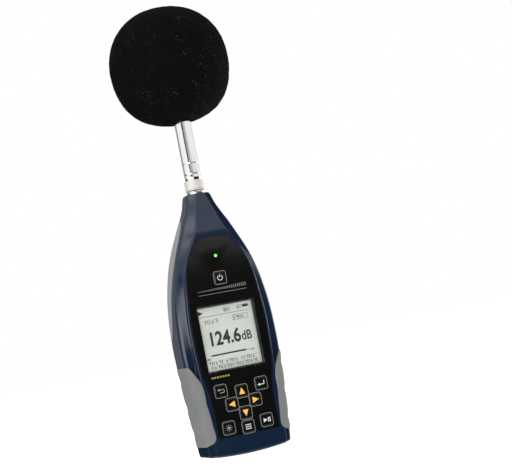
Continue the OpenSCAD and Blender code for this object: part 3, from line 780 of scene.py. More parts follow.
def front_case(case):
    """Front shell: hollow, with a recess for the overlay and openings for all that comes through."""
    shell = cut(case, block(-BESIDE, BESIDE, SEAM - 0.03, BESIDE, BELOW, COVER_TOP))
    shell = cut(shell, cavity(FLOOR_TOP, HOLLOW_TOP, HOLLOW_FRONT, SEAM + 1))
    plateau = both_sides([(smooth(FACE, z) - 2, z) for z in span(5, 160, 40)])
    shell = cut(shell, polygon_y(plateau, INNER_Y, -11))
    shell = cut(shell, prism_y(overlay_outline, [(BEFORE, 0.2), (FACE_Y - 0.05, 0.2), (FACE_Y + 0.15, 0),
                                                 (PLATE_Y, 0)]))
    openings = [key_prism(name, [(BEFORE, KEY_GAP), (-14, KEY_GAP)]) for name in KEYS]
    openings.append(prism_y(window_outline, [(BEFORE, 0), (LEDGE_Y, 0), (LEDGE_Y, -0.6), (-14, -0.6)]))
    openings.append(rod_y(0, LED_Z, [(BEFORE, LED_R), (-12, LED_R)]))
    openings.append(rod_z(0, 0, [(HOLLOW_TOP, STEM_HOLE_R), (210, STEM_HOLE_R)]))
    for x in (-JACK_X, JACK_X):
        openings.append(rod_z(x, JACK_Y, [(-2, 3.75), (0.75, 3.75), (1.15, 3.35), (8, 3.35)]))
    openings.append(block(USB_X - 4.2, USB_X + 4.2, -9.6, -5, -2, 8))
    openings.append(block(CARD_X - 5.8, CARD_X + 5.8, -9.2, -7.8, -2, 8))
    return cut(shell, joined(openings + side_pockets()))


DOOR_LOW, DOOR_HIGH, DOOR_HALF, DOOR_T = 27, 92, 28.6, 1.6
BEAD_Y, BEAD_R, BEAD_SEAT_R = HALF_DEPTH - 1.2, 0.9, 1.42
PIN_R, PIN_SEAT_R, PIN_LENGTH = 0.6, 0.66, 1.1
INSERT_HOLE_R, SCREW_HOLE_R = 4.82, 2.6


def rear_case(case):
    """Rear shell: hollow, with the battery door's recess, the screw wells and the tripod insert's hole."""
    removed = [(-BESIDE, BELOW), (SEAM + 0.03, BELOW), (SEAM + 0.03, COVER_TOP - 0.06),
               (BESIDE, COVER_TOP - 0.06), (BESIDE, ABOVE), (-BESIDE, ABOVE)]
    shell = cut(case, loft([[(x, y, z) for y, z in removed] for x in (-BESIDE, BESIDE)]))
    shell = cut(shell, cavity(FLOOR_TOP, 160, 0, 11.5))
    shell = cut(shell, cavity(FLOOR_TOP, 132, 11, HALF_DEPTH - WALL_T, 2))
    gap = 0.12
    shell = cut(shell, block(-DOOR_HALF - gap, DOOR_HALF + gap, HALF_DEPTH - DOOR_T - gap, 30, DOOR_LOW,
                             DOOR_HIGH + gap))
    shell = cut(shell, rod_x(BEAD_Y, DOOR_LOW, BEAD_SEAT_R, -DOOR_HALF - 0.15, DOOR_HALF + 0.15))
    pin_end = DOOR_HALF + PIN_LENGTH + 0.1
    shell = cut(shell, rod_x(BEAD_Y, DOOR_LOW, PIN_SEAT_R, -pin_end, pin_end))
    openings = [block(-DOOR_HALF + 0.8, DOOR_HALF - 0.8, 0, 30, 31.2, DOOR_HIGH - 1.2)]
    openings.append(rod_y(0, -BOTTOM, [(HALF_DEPTH - 8, INSERT_HOLE_R), (HALF_DEPTH - 0.3, INSERT_HOLE_R),
                                       (HALF_DEPTH + 0.1, 5.2), (30, 5.2)]))
    for x, z in SCREWS:
        mouth = smooth(BACK, z)
        openings.append(rod_y(x, z, [(SCREW_SEAT, SCREW_HOLE_R), (mouth - 0.35, SCREW_HOLE_R),
                                     (mouth + 0.05, 3), (30, 3)]))
    return cut(shell, joined(openings + side_pockets()))


def battery_lid(case):
    """Lid with finger ridges near its top and the bead that it tips on along its lower edge."""
    lid = block(-DOOR_HALF, DOOR_HALF, HALF_DEPTH - DOOR_T, 30, DOOR_LOW + 0.2, DOOR_HIGH)
    lid = cut(case, lid, "INTERSECT")

    groove = [(19, -0.6), (HALF_DEPTH + 0.01, -0.6), (HALF_DEPTH - 0.5, -0.3), (HALF_DEPTH - 0.5, 0.3),
              (HALF_DEPTH + 0.01, 0.6), (19, 0.6)]
    middle_groove, groove_pitch = 82.4, 2
    heights = [middle_groove + groove_pitch * i for i in range(-2, 3)]
    lid = cut(lid, joined([loft([[(x, y, z + rise) for y, rise in groove] for x in (-9, 9)])
                           for z in heights]))
    lid = cut(lid, polygon_y([(-3.2, 74.5), (3.2, 74.5), (0, 70.8)], HALF_DEPTH - 0.35, 19))
    lid = cut(lid, rod_x(BEAD_Y, DOOR_LOW, BEAD_R, -DOOR_HALF, DOOR_HALF), "UNION")
    pin_end = DOOR_HALF + PIN_LENGTH
    return cut(lid, rod_x(BEAD_Y, DOOR_LOW, PIN_R, -pin_end, pin_end), "UNION")


def build_case():
    place(front_case(case_solid()), "front_case", "case", "case_navy", NAVY, "front_shell", sharp=28)
    place(rear_case(case_solid()), "rear_case", "case", "case_navy", NAVY, "rear_shell", sharp=28)
    place(battery_lid(case_solid()), "battery_lid", "battery_door", "case_navy", NAVY, "battery_door")
    for build, name, slot, material, node in (
            (grip_piece, "grip_{}_rubber", "grip_rubber", GRIP, "grip_"),
            (trim_piece, "trim_{}", "side_trim", TRIM_GREY, "inlay_")):
        right = build()
        for half, side in ((right, "right"), (mirrored(right), "left")):
            place(half, name.format(side), "case", slot, material, node + side, sharp=50)


build_case()


# ---- Front panel ----
def build_overlay():
    top = OVERLAY_Y
    plate = prism_y(overlay_outline, [(top, -0.32), (top + 0.05, -0.18), (top + 0.16, -0.1), (PLATE_Y, -0.1)])
    hole = [(BEFORE, KEY_GAP + 0.1), (top, KEY_GAP + 0.1), (top + 0.12, KEY_GAP), (-14, KEY_GAP)]
    openings = [key_prism(name, hole) for name in KEYS]
    openings.append(prism_y(window_outline, [(BEFORE, 0.1), (top, 0.1), (top + 0.12, 0), (-14, 0)]))
    openings.append(rod_y(0, LED_Z, [(BEFORE, LED_R), (-12, LED_R)]))
    place(cut(plate, joined(openings)), "front_overlay", "case", "panel_black", PANEL, "faceplate")


def frame_shape(outer, inner, y0, y1):
    """Flat frame between two outlines with the same number of points."""
    n = len(outer)
    verts = [(x, y, z) for y in (y0, y1) for ring in (outer, inner) for x, z in ring]
    faces = [(a * n + i, a * n + (i + 1) % n, b * n + (i + 1) % n, b * n + i)
             for i in range(n) for a, b in ((0, 1), (3, 2), (2, 0), (1, 3))]
    return mesh_object("frame_shape", verts, faces)


def build_key_outlines():
    """Printed line round each key."""
    lines = []
    for i, (x, z) in enumerate(KEYS.values()):
        outer = rounded_square(x, z, 10, 10, 2)
        inner = rounded_square(x, z, 9.4, 9.4, 1.75)
        lines.append(frame_shape(outer, inner, OVERLAY_Y - 0.02 - 0.004 * (i % 3), OVERLAY_Y + 0.02))
    place(joined(lines), "key_outlines", "case", "panel_black", INK_GREY)


def build_key(name):
    """Silicone key: a flange under the panel, straight sides, a soft edge and a flat top."""
    low, high = case_box("key_" + name)
    top = low.y
    stations = [(high.y, 0.3), (high.y - 0.78, 0.3), (high.y - 0.8, 0), (top + 0.6, 0)]
    stations += [(top + 0.6 * (1 - sin(a)), -0.9 * (1 - cos(a))) for a in span(0.2, pi / 2, 7)]
    body = "key_" + name
    place(key_prism(name, stations, 0.6), body + "_cap", body, "key_black", KEY_BLACK, body, sharp=40)


def bar(x, z, length, width, angle=0.0):
    """Corners of a straight bar centred on a point."""
    c, s = cos(radians(angle)), sin(radians(angle))
    return [(x + (u * c * length - v * s * width) / 2, z + (u * s * length + v * c * width) / 2)
            for u, v in ((-1, -1), (1, -1), (1, 1), (-1, 1))]


def arc_band(x, z, r, width, a0, a1):
    return ([polar(x, z, r + width / 2, a) for a in span(a0, a1, 24)]
            + [polar(x, z, r - width / 2, a) for a in span(a1, a0, 24)])


def triangle(x, z, size, angle):
    """Arrow head that points along an angle."""
    return [polar(x, z, size * k, angle + a) for a, k in ((0, 1), (130, 1.05), (230, 1.05))]


LEGENDS = {
    "power": (INK_WHITE, lambda x, z: [arc_band(x, z, 1.9, 0.5, 125, 415), bar(x, z + 1.5, 0.5, 2.2)]),
    "escape": (INK_GREY, lambda x, z: [
        bar(x + 0.4, z + 1, 2.6, 0.5), arc_band(x + 1.7, z - 0.1, 1.1, 0.5, -90, 90),
        bar(x + 0.4, z - 1.2, 2.6, 0.5), triangle(x - 1.5, z + 1, 1.2, 180)]),
    "enter": (INK_WHITE, lambda x, z: [bar(x + 0.6, z - 0.9, 3.8, 0.6), bar(x + 2.3, z + 0.3, 0.6, 3),
                                       triangle(x - 1.9, z - 0.9, 1.3, 180)]),
    "up": (INK_AMBER, lambda x, z: [triangle(x, z - 0.3, 2.9, 90)]),
    "down": (INK_AMBER, lambda x, z: [triangle(x, z + 0.3, 2.9, 270)]),
    "left": (INK_AMBER, lambda x, z: [triangle(x + 0.3, z, 2.9, 180)]),
    "right": (INK_AMBER, lambda x, z: [triangle(x - 0.3, z, 2.9, 0)]),
    "light": (INK_GREY, lambda x, z: [circle(x, z, 1, 20)] + [
        bar(*polar(x, z, 2, a), 1.1, 0.4, a) for a in range(0, 360, 45)]),
    "menu": (INK_WHITE, lambda x, z: [bar(x, z + d, 4.6, 0.6) for d in (-1.5, 0, 1.5)]),
    "run": (INK_WHITE, lambda x, z: [triangle(x - 1.2, z, 1.9, 0)] + [
        bar(x + d, z, 0.7, 3.4) for d in (1.3, 2.6)]),
}


def build_legend(name):
    """Printed sign on a key."""
    ink, shapes = LEGENDS[name]
    front = case_box("key_" + name)[0].y
    parts = [polygon_y(shape, front - 0.03, front + 0.02) for shape in shapes(*KEYS[name])]
    place(joined(parts), "key_" + name + "_legend", "key_" + name, "key_black", ink)


def build_scale():
    """Printed row of marks that grow like a rising level, and a row of amber marks."""
    marks = [bar(i * 1.55, 122.65 + (i + 12) / 32, 0.42, 0.7 + (i + 12) / 8 * 0.7) for i in range(-12, 13)]
    marks.append(bar(0, 119.9, 38, 0.25))
    rule = [bar(-14 + 2.1 * i, 59, 1.5, 1.3) for i in range(-3, 4)]
    for name, shapes, ink in (("level_marks", marks, INK_GREY), ("amber_rule", rule, INK_DULL)):
        prints = [polygon_y(shape, OVERLAY_Y - 0.02, OVERLAY_Y + 0.02) for shape in shapes]
        place(joined(prints), name, "case", "panel_black", ink)


def build_window():
    pane = prism_y(lambda g: rounded_square(0, WINDOW_Z, WINDOW_W + 2 * g, WINDOW_H + 2 * g, 0.35, 3),
                   [(OVERLAY_Y, -0.28), (OVERLAY_Y + 0.08, -0.13), (OVERLAY_Y + 0.2, -0.06),
                    (LEDGE_Y - 0.08, -0.06)])
    place(pane, "window_pane", "case", "window_clear", WINDOW, "display_window")
    left, right, low, high = -21.75, 20.85, 63.7, 110.6
    lit = [(left, low), (right, low), (right, high), (left, high)]
    mask = frame_shape(window_outline(-0.08), lit, LEDGE_Y - 0.07, LEDGE_Y)
    place(mask, "window_mask", "case", "panel_black", MASK)


def lettering(text, x0, x1, z0, z1, weight):
    """Digits as a flat solid that fills the given box on the display."""
    curve = bpy.data.curves.new("digits", "FONT")
    curve.body = text
    curve.size = 1
    curve.extrude = 0.012
    curve.offset = weight
    carrier = into_scene(bpy.data.objects.new("digits", curve))
    mesh = evaluated_mesh(carrier)
    bpy.data.objects.remove(carrier)
    low = [min(v.co[i] for v in mesh.vertices) for i in range(3)]
    high = [max(v.co[i] for v in mesh.vertices) for i in range(3)]
    for v in mesh.vertices:
        a, b, c = ((v.co[i] - low[i]) / (high[i] - low[i]) for i in range(3))
        v.co = (x0 + (x1 - x0) * a, LCD_FACE + 0.005 - 0.035 * c, z0 + (z1 - z0) * b)
    made = into_scene(bpy.data.objects.new("digits", mesh))
    even_normals(made)
    return made


LCD_FACE = case_box("lcd_panel")[0].y


def small_marks(x0, x1, z, height, seed):
    """A row of tiny upright and level strokes, as dense as small print."""
    strokes = []
    step = height * 0.62
    for count in range(int((x1 - x0) / step)):
        x = x0 + step * count
        kind = (count * 7 + seed * 3) % 5
        if kind != 3:
            strokes.append(bar(x, z, 0.45, height))
        if kind in (0, 2, 3):
            strokes.append(bar(x + step * 0.35, z + height * 0.5 - 0.2, step * 0.62, 0.4))
        if kind in (1, 2):
            strokes.append(bar(x + step * 0.35, z - height * 0.5 + 0.2, step * 0.62, 0.4))
        if kind in (0, 1):
            strokes.append(bar(x + step * 0.38, z, step * 0.5, 0.4))
    return strokes


def build_reading():
    """The reading: a level in large digits, a bar below it and rows of small marks."""
    y0, y1 = LCD_FACE - 0.03, LCD_FACE + 0.005
    dark = [lettering("124.6", -15.3, 8.5, 81.7, 92.5, 0.03), lettering("dB", 9.1, 17.2, 82.3, 89.2, 0.02)]
    shapes = [triangle(-19.8, 107.1, 2.3, 0), bar(-3.2, 75, 27.8, 1.2), bar(16, 107.6, 4.4, 2),
              bar(18.4, 107.6, 0.5, 1)]
    dark += [polygon_y(shape, y0, y1) for shape in shapes]
    place(joined(dark), "display_reading", "case", "lcd_glass", LCD_DARK, sharp=180)
    pale = [polygon_y(bar(-1.4, 104.1, 39, 0.32), y0, y1), polygon_y(bar(13.2, 74.6, 4.6, 0.3), y0, y1)]
    pale += [frame_shape(bar(x, z, w, h), bar(x, z, w - line, h - line), y0, y1)
             for x, z, w, h, line in ((1.2, 106.9, 4.6, 2.8, 0.6), (11.4, 107.2, 3.4, 2.6, 0.5),
                                      (10.9, 100.2, 12, 4, 0.5))]
    rows = [(-18.6, -4.6, 99.8, 2.9, 1), (6, 16.4, 100.2, 2.1, 2), (-0.4, 3, 106.9, 1.3, 4),
            (10.4, 12.6, 107.2, 1.2, 3), (-20.4, -16.8, 72.6, 1.6, 0), (15.2, 18.4, 74.6, 1.4, 3),
            (-20.4, -7, 69.5, 2.5, 1), (-6, 4.6, 69.6, 2.5, 2), (6, 19, 69.7, 2.5, 3),
            (-18.4, 19, 66.2, 2.3, 4)]
    for x0, x1, z, height, seed in rows:
        for k, stroke in enumerate(small_marks(x0, x1, z, height, seed)):
            pale.append(polygon_y(stroke, y0 - 0.002 * (k % 2), y1 + 0.001 * (k % 3)))
    place(joined(pale), "display_marks", "case", "lcd_glass", LCD_GREY, sharp=180)


def build_led():
    r = LED_R - 0.06
    face = case_box("led_light_pipe")[0].y
    dome = [(face + 0.1 + 0.35 * (1 - sin(a)), r * cos(a * 0.97)) for a in span(0.15, pi / 2, 8)]
    lens = rod_y(0, LED_Z, [(face + 3, r), (face + 0.45, r)] + dome, 40)
    flange = rod_y(0, LED_Z, [(face + 3.8, 2), (face + 3, 2)], 40)
    place(joined([lens, flange]), "status_light", "case", "light_green", GREEN_LIGHT, "led_light_pipe",
          sharp=40)


build_overlay()
build_key_outlines()
for key_name in KEYS:
    build_key(key_name)
    build_legend(key_name)
build_scale()
build_window()
build_reading()
build_led()


# ---- Turned parts ----
def turned_piece(profile, bevel=0.15, n=96, waves=None):
    """Solid of revolution round Z from a closed outline of (r, z) corners, each with a small round edge."""
    rounded = []
    count = len(profile)
    for i, corner in enumerate(profile):
        b = Vector(corner)
        a, c = Vector(profile[i - 1]), Vector(profile[(i + 1) % count])
        if b.x < 1e-6:
            rounded.append(b)
            continue
        reach = min(bevel, 0.4 * (b - a).length, 0.4 * (c - b).length)
        start, stop = b + (a - b).normalized() * reach, b + (c - b).normalized() * reach
        for t in span(0, 1, 3):
            rounded.append(start * (1 - t) ** 2 + b * 2 * t * (1 - t) + stop * t * t)
    verts, faces, rows = [], [], []
    for p in rounded:
        if p.x < 1e-6:
            rows.append([len(verts)])
            verts.append((0, 0, p.y))
        else:
            rows.append([len(verts) + k for k in range(n)])
            for k in range(n):
                a = tau * k / n
                r = p.x + (waves(a, p.x, p.y) if waves else 0)
                verts.append((r * cos(a), r * sin(a), p.y))
    for j in range(len(rows)):
        a, b = rows[j], rows[(j + 1) % len(rows)]
        for k in range(n):
            quad = [a[k % len(a)], a[(k + 1) % len(a)], b[(k + 1) % len(b)], b[k % len(b)]]
            quad = list(dict.fromkeys(quad))
            if len(quad) > 2:
                faces.append(tuple(quad))
    return mesh_object("turned", verts, faces)


def build_connector():
    """Coupling nut with a turned groove, and the threaded socket that it runs on."""
    nut_low, nut_high = case_box("coupling_nut")
    z0, z1, r = nut_low.z, nut_high.z, nut_high.x
    nut = turned_piece([(5.6, z0), (r - 0.1, z0), (r, z0 + 0.9), (r - 0.28, z0 + 0.95), (r - 0.28, z0 + 1.25),
                        (r, z0 + 1.3), (r, z0 + 2), (r, z1 - 1.2), (r, z1 - 0.5), (r - 0.5, z1), (4.42, z1),
                        (4.42, z1 - 1), (5.6, z1 - 1)], 0.18, 128)
    place(nut, "coupling_nut_ring", "coupling_nut", "nickel", SATIN, "coupling_nut")
    flange_low, flange_high = case_box("tnc_receptacle")
    top = flange_high.z

    def thread(a, r, z):
        if r < 5 or z < BODY_H + 2.7:
            return 0
        return -0.35 * abs(2 * ((z / 0.9 - a / tau) % 1) - 1)

    ridges = [(5.5, z) for z in span(BODY_H + 2.7, top - 0.2, 30)]
    stem = [(2, flange_low.z), (5.5, flange_low.z), (5.5, BODY_H), (6.7, BODY_H), (6.7, BODY_H + 2.6)]
    mouth = [(5.2, top), (4.15, top), (4.15, BODY_H), (2, BODY_H)]
    socket = turned_piece(stem + ridges + mouth, 0.1, 96, thread)
    place(socket, "threaded_socket", "case", "nickel", NICKEL, "tnc_receptacle")


def build_microphone():
    """Preamplifier tube with its turned steps, and the capsule with its thread and grid."""
    tube_high = case_box("preamp_tube")[1]
    cap_low, cap_high = case_box("mic_housing")
    grid_low, grid_high = case_box("mic_grid")
    r = tube_high.x
    z1 = tube_high.z
    tube = turned_piece([(3.3, 199.6), (4.05, 199.6), (4.05, 205.5), (4.95, 205.5), (4.95, 206.7),
                         (4.3, 206.7), (4.3, 208), (r - 0.15, 208), (r - 0.15, 212.1), (r - 0.5, 212.2),
                         (r - 0.5, 212.35), (r, 212.45), (r, 213.2), (r, 219.6), (r, 220.4),
                         (r - 0.15, 220.45), (r - 0.15, 220.65), (r, 220.7), (r, 221.5), (r, z1 - 1),
                         (r, z1), (r - 1, z1), (r - 1, 213), (1.8, 213), (1.8, 206), (3.3, 206)], 0.12, 128)
    place(tube, "preamplifier_tube", "microphone", "stainless", STAINLESS, "preamp_tube")
    low, high = cap_low.z, cap_high.z
    threads = [(r - 0.12 * (i % 2), low + 1.2 + 0.25 * i) for i in range(9)]
    capsule = turned_piece([(r - 0.9, low), (r, low)] + threads + [(r, high), (r - 0.9, high)], 0.08, 128)
    place(capsule, "capsule_body", "microphone", "mic_metal", MIC_METAL, "mic_housing")
    build_grid(grid_low.z, grid_high.z, grid_high.x)


def build_grid(low, high, r):
    """Protection grid: a cap with a ring of slots in its top and its side."""
    cap = turned_piece([(0, high - 1), (r - 0.85, high - 1), (r - 0.85, low), (r, low), (r, high - 0.8),
                        (r - 0.8, high), (0, high)], 0.2, 96)
    slots = []
    for i in range(8):
        slot = prism_y(lambda g: rounded_square(3.5, 0, 3, 0.9, 0.44, 5), [(-3, 0), (3, 0)])
        slot.data.transform(Matrix.Rotation(tau * i / 8, 4, "Z") @ Matrix.Translation((0, 0, high))
                            @ Matrix.Rotation(pi / 2, 4, "X"))
        slots.append(slot)
    for i in range(12):
        slot = loft([[(x, y, high - 2.7 + z) for y, z in rounded_square(0, 0, 1, 2.1, 0.45, 5)]
                     for x in (5.3, 8)])
        slot.data.transform(Matrix.Rotation(tau * (i + 0.5) / 12, 4, "Z"))
        slots.append(slot)
    slots.append(rod_z(0, 0, [(high - 2, 0.6), (high + 1, 0.6)], 24))
    place(cut(cap, joined(slots)), "protection_grid", "microphone", "mic_metal", MIC_METAL, "mic_grid")


build_connector()
build_microphone()


# ---- Windscreen ----
BALL_ROWS = 200
BALL_COLUMNS = 400
LEAN = Vector((0.94, -0.32, -0.11))


def ball_lump(p, outward):
    """Hand-trimmed foam: fuller between poles and waist, leaning a little, with a coarse cell edge."""
    side = outward.dot(LEAN)
    z2 = outward.z * outward.z
    full = (1.1 if outward.z > 0 else 2.2) * 4 * z2 * (1 - z2)
    broad = noise.noise(p / 26 + Vector((3.1, 0.4, 1.7)))
    middle = noise.noise(p / 5)
    cells = noise.noise(p / 1.6 + Vector((7, 0, 0)))
    return full - 1.72 * side - max(outward.z, 0) ** 2 + 0.3 * broad + 0.22 * middle + 0.25 * cells


def build_ball():
    """Foam ball with a round-lipped bore for the microphone."""
    ball_low, ball_high = case_box("windscreen")
    centre = (ball_low + ball_high) / 2
    radius = (ball_high.x - ball_low.x) / 2 - 0.5
    bore = 6.9
    bore_top = 300.3
    lip = 1.8
    edge = asin((bore + lip) / radius)
    floor_z = centre.z - radius * cos(edge)
    profile = [(bore * t, bore_top) for t in span(0, 1, 6)[1:]]
    profile += [(bore, z) for z in span(bore_top, floor_z + lip, 40)[1:]]
    profile += [(bore + lip * (1 - cos(a)), floor_z + lip * (1 - sin(a)) * 0.9)
                for a in span(0, pi / 2, 6)[1:-1]]
    profile += [(radius * sin(a), centre.z - radius * cos(a))
                for a in span(edge, pi, BALL_ROWS)[:-1]]
    n = BALL_COLUMNS
    verts = [Vector((r * cos(a), r * sin(a), z)) for r, z in profile for a in span(0, tau, n)[:-1]]
    end = len(verts)
    verts += [Vector((0, 0, bore_top)), Vector((0, 0, centre.z + radius))]
    for v in verts:
        outward = v - centre
        share = ramp((outward.length - radius * 0.6) / (radius * 0.3))
        if v.z <= centre.z:
            share *= ramp((v.xy.length - bore) / 3)
        v += outward.normalized() * ball_lump(v, outward.normalized()) * share
    faces = tube_faces(len(profile), n)
    faces += [(end, (k + 1) % n, k) for k in range(n)]
    faces += [(end - n + k, end - n + (k + 1) % n, end + 1) for k in range(n)]
    ball = mesh_object("ball", verts, faces)
    place(ball, "foam_ball", "windscreen", "foam_black", FOAM, "windscreen", sharp=180)


build_ball()


# ---- Power, fasteners, card ----
CELL_PITCH, CELL_R, CELL_LENGTH, CELL_Y = 14.6, 7.2, 50.5, 8.1
TRAY_FLOOR, SPRING_GAP, PLATE_GAP = 31.2, 4.2, 0.5


def cell_x(i):
    return (i - 1.5) * CELL_PITCH


def build_cells():
    """Four cells, every second one upside down, each with a jacket, a copper band and two ends."""
    r, length = CELL_R, CELL_LENGTH
    bodies, bands, ends = [], [], []
    for i in range(4):
        turned_over = i % 2 == 1
        z0 = TRAY_FLOOR + (PLATE_GAP if turned_over else SPRING_GAP)

        def add(group, profile, bevel=0.3):
            piece = turned_piece(profile, bevel, 64)
            if turned_over:
                piece.data.transform(Matrix.Translation((0, 0, length)) @ Matrix.Scale(-1, 4, (0, 0, 1)))
                even_normals(piece)
            piece.data.transform(Matrix.Translation((cell_x(i), CELL_Y, z0)))
            group.append(piece)

        add(bodies, [(0, 0.3), (r, 0.3), (r, 34), (0, 34)], 0.5)
        add(bands, [(0, 34.02), (r, 34.02), (r, length - 1.3), (0, length - 1.3)], 0.5)
        add(ends, [(0, 0), (5.6, 0), (5.6, 0.28), (0, 0.28)], 0.1)
        add(ends, [(0, length - 1.28), (5.2, length - 1.28), (5.2, length - 1.1), (2.7, length - 1.1),
                   (2.7, length), (0, length)], 0.25)
    place(joined(bodies), "cell_jackets", "case", "cell_jacket", JACKET, "battery_cells")
    place(joined(bands), "cell_bands", "case", "cell_jacket", JACKET_BAND)
    place(joined(ends), "cell_ends", "case", "tinned_steel", TIN)


def build_springs():
    """Cone springs under every second cell, and at the top for the others."""
    wire, turns, height = 0.35, 2.5, 4.1
    springs = []
    for i in range(4):
        up = 1 if i % 2 == 0 else -1
        base = TRAY_FLOOR if up > 0 else TRAY_FLOOR + SPRING_GAP + CELL_LENGTH + PLATE_GAP
        rings = []
        for t in span(0, 1, 110):
            a = tau * turns * t
            r = 5.4 - 2.2 * t
            z = wire + (height - 2 * wire) * t
            rings.append([(cell_x(i) + (r + wire * cos(b)) * cos(a), CELL_Y + (r + wire * cos(b)) * sin(a),
                           base + up * (z + wire * sin(b))) for b in span(0, tau, 12)[:-1]])
        springs.append(loft(rings))
    place(joined(springs), "contact_springs", "case", "tinned_steel", TIN, "battery_springs", sharp=60)


def build_screws():
    """Pan-head case screws with a cross in each head, at the bottom of their wells."""
    screws = []
    for x, z in SCREWS:
        seat = SCREW_SEAT
        screw = turned_piece([(0, -4), (0.7, -4), (1.1, -3), (1.1, seat), (2.3, seat), (2.3, seat + 1.2),
                              (1.6, seat + 1.75), (0, seat + 1.8)], 0.12, 48)
        for w, d in ((1.3, 0.22), (0.22, 1.3)):
            screw = cut(screw, block(-w, w, -d, d, seat + 0.9, seat + 3))
        screw.data.transform(Matrix.Translation((x, 0, z)) @ Matrix.Rotation(radians(20 + x), 4, "Y")
                             @ Matrix.Rotation(-pi / 2, 4, "X"))
        screws.append(screw)
    place(joined(screws), "case_screws", "case", "screw_steel", SCREW, "housing_screws")


def build_insert():
    """Brass insert with a real quarter-inch thread, twenty turns to the inch."""
    low, high = case_box("tripod_insert")
    pitch, depth, r = 1.27, 0.55, 3.175
    length = high.y - low.y

    def thread(a, radius, z):
        if radius >= 3.5 or z < 0.4 or z > length - 0.4:
            return 0
        return depth * (abs(2 * ((z / pitch - a / tau) % 1) - 1) - 0.5)

    bore = [(r + 0.15, z) for z in span(length - 0.4, 0.4, 72)]
    waist = high.x - 0.35
    knurl = [(high.x, 0), (high.x, length * 0.4), (waist, length * 0.42), (waist, length * 0.58),
             (high.x, length * 0.6), (high.x, length)]
    insert = turned_piece(knurl + [(r + 0.5, length)] + bore + [(r + 0.5, 0)], 0.1, 96, thread)
    insert.data.transform(Matrix.Translation((0, low.y, -BOTTOM)) @ Matrix.Rotation(-pi / 2, 4, "X"))
    place(insert, "tripod_bush", "case", "insert_brass", BRASS, "tripod_insert")


def build_card():
    """Small memory card: a notched edge, a finger lip and a row of contacts."""
    low, high = case_box("memory_card")
    x0, x1, y0, y1, z0, z1 = low.x, high.x, low.y, high.y, low.z, high.z
    outline = [(x0, z0 + 0.6), (x0 + 0.6, z0), (x1 - 0.6, z0), (x1, z0 + 0.6), (x1, z1 - 8),
               (x1 - 1.2, z1 - 7), (x1 - 1.2, z1 - 0.6), (x1 - 1.8, z1), (x0 + 0.6, z1), (x0, z1 - 0.6)]
    card = prism_y(lambda g: offset_outline(outline, g),
                   [(y0, -0.12), (y0 + 0.12, 0), (y1 - 0.12, 0), (y1, -0.12)])
    lip = block(x0 + 1, x1 - 1, y0 - 0.02, y0 + 0.18, z0 + 0.9, z0 + 1.3)
    place(cut(card, lip), "memory_card_body", "memory_card", "plastic_black", BLACK, "memory_card")
    pads = [block(x0 + 1 + i * 1.05, x0 + 1.75 + i * 1.05, y1 - 0.02, y1 + 0.02, z1 - 3.6, z1 - 0.9)
            for i in range(8)]
    place(joined(pads), "memory_card_contacts", "memory_card", "contact_gold", GOLD)


def build_socket_details():
    """Tongue and pins in the USB socket, and the metal sleeves of the two jacks."""
    tongue = block(USB_X - 2.4, USB_X + 2.4, -7.7, -6.9, 2.4, 10)
    place(tongue, "usb_tongue", "case", "plastic_black", SOCKET_BLACK)
    pins = [block(USB_X - 1.75 + i * 0.8, USB_X - 1.45 + i * 0.8, -6.92, -6.82, 2.8, 9) for i in range(5)]
    place(joined(pins), "usb_pins", "case", "contact_gold", GOLD)
    sleeves = []
    for x in (-JACK_X, JACK_X):
        sleeve = turned_piece([(1.82, 1.3), (2.5, 1.3), (2.5, 1.1), (1.82, 1.1)], 0.05, 64)
        sleeve.data.transform(Matrix.Translation((x, JACK_Y, 0)))
        sleeves.append(sleeve)
    place(joined(sleeves), "jack_sleeves", "case", "nickel", NICKEL)


build_cells()
build_springs()
build_screws()
build_insert()
build_card()
build_socket_details()

# ---- Materials of the CAD nodes that are shown as they are ----
CARRIED = (
    (GLASS, ("lcd_panel",)),
    (DIFFUSER, ("lcd_backlight",)),
    (DOME_RUBBER, ("keypad_mat",)),
    (BLACK, ("lcd_frame", "board_header", "chips", "signal_lead", "battery_tray")),
    (SOCKET_BLACK, ("ac_jack", "dc_jack")),
    (BOARD, ("main_board", "analog_board", "preamp_board")),
    (GOLD, ("key_contacts", "tnc_contact", "preamp_pin")),
    (TIN, ("shield_can", "clock_cell", "card_socket", "usb_socket", "battery_contacts")),
    (NICKEL, ("tnc_locknut",)),
    (CERAMIC, ("preamp_insulator", "mic_insulator")),
    (MIC_PLATE, ("mic_backplate",)),
    (MIC_METAL, ("mic_diaphragm",)),
    (SCREW, ("board_screws",)),
)
for node_material, node_names in CARRIED:
    for node_name in node_names:
        dress(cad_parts[node_name].data, node_material)


# ---- Studio ----
def stage_material(name, colour, glow=0.0):
    s = Shader(name, specular=0.05)
    patches = s.noise(400, 2)
    tint = s.clouded(patches, scaled(linear(colour), 0.99), linear(colour))
    s.glow(tint, glow)
    return s.finish(tint, s.remap(patches, 0.3, 0.7, 0.8, 0.9))


def screen(name, material, corners):
    """Screen of the studio, made of four-cornered panels."""
    mesh = bpy.data.meshes.new(name)
    mesh.from_pydata(corners, [], [tuple(range(i, i + 4)) for i in range(0, len(corners), 4)])
    mesh.materials.append(material)
    panel = into_scene(bpy.data.objects.new(name, mesh))
    return panel


def curved(radius, a0, a1, z0, z1):
    """Panels standing on an arc round the meter, from angle a0 to a1, counted from the front to the right."""
    turns = [radians(a) for a in span(a0, a1, 12)]
    posts = [(radius * sin(a), -radius * cos(a)) for a in turns]
    return [corner for (x0, y0), (x1, y1) in zip(posts, posts[1:])
            for corner in ((x0, y0, z0), (x1, y1, z0), (x1, y1, z1), (x0, y0, z1))]


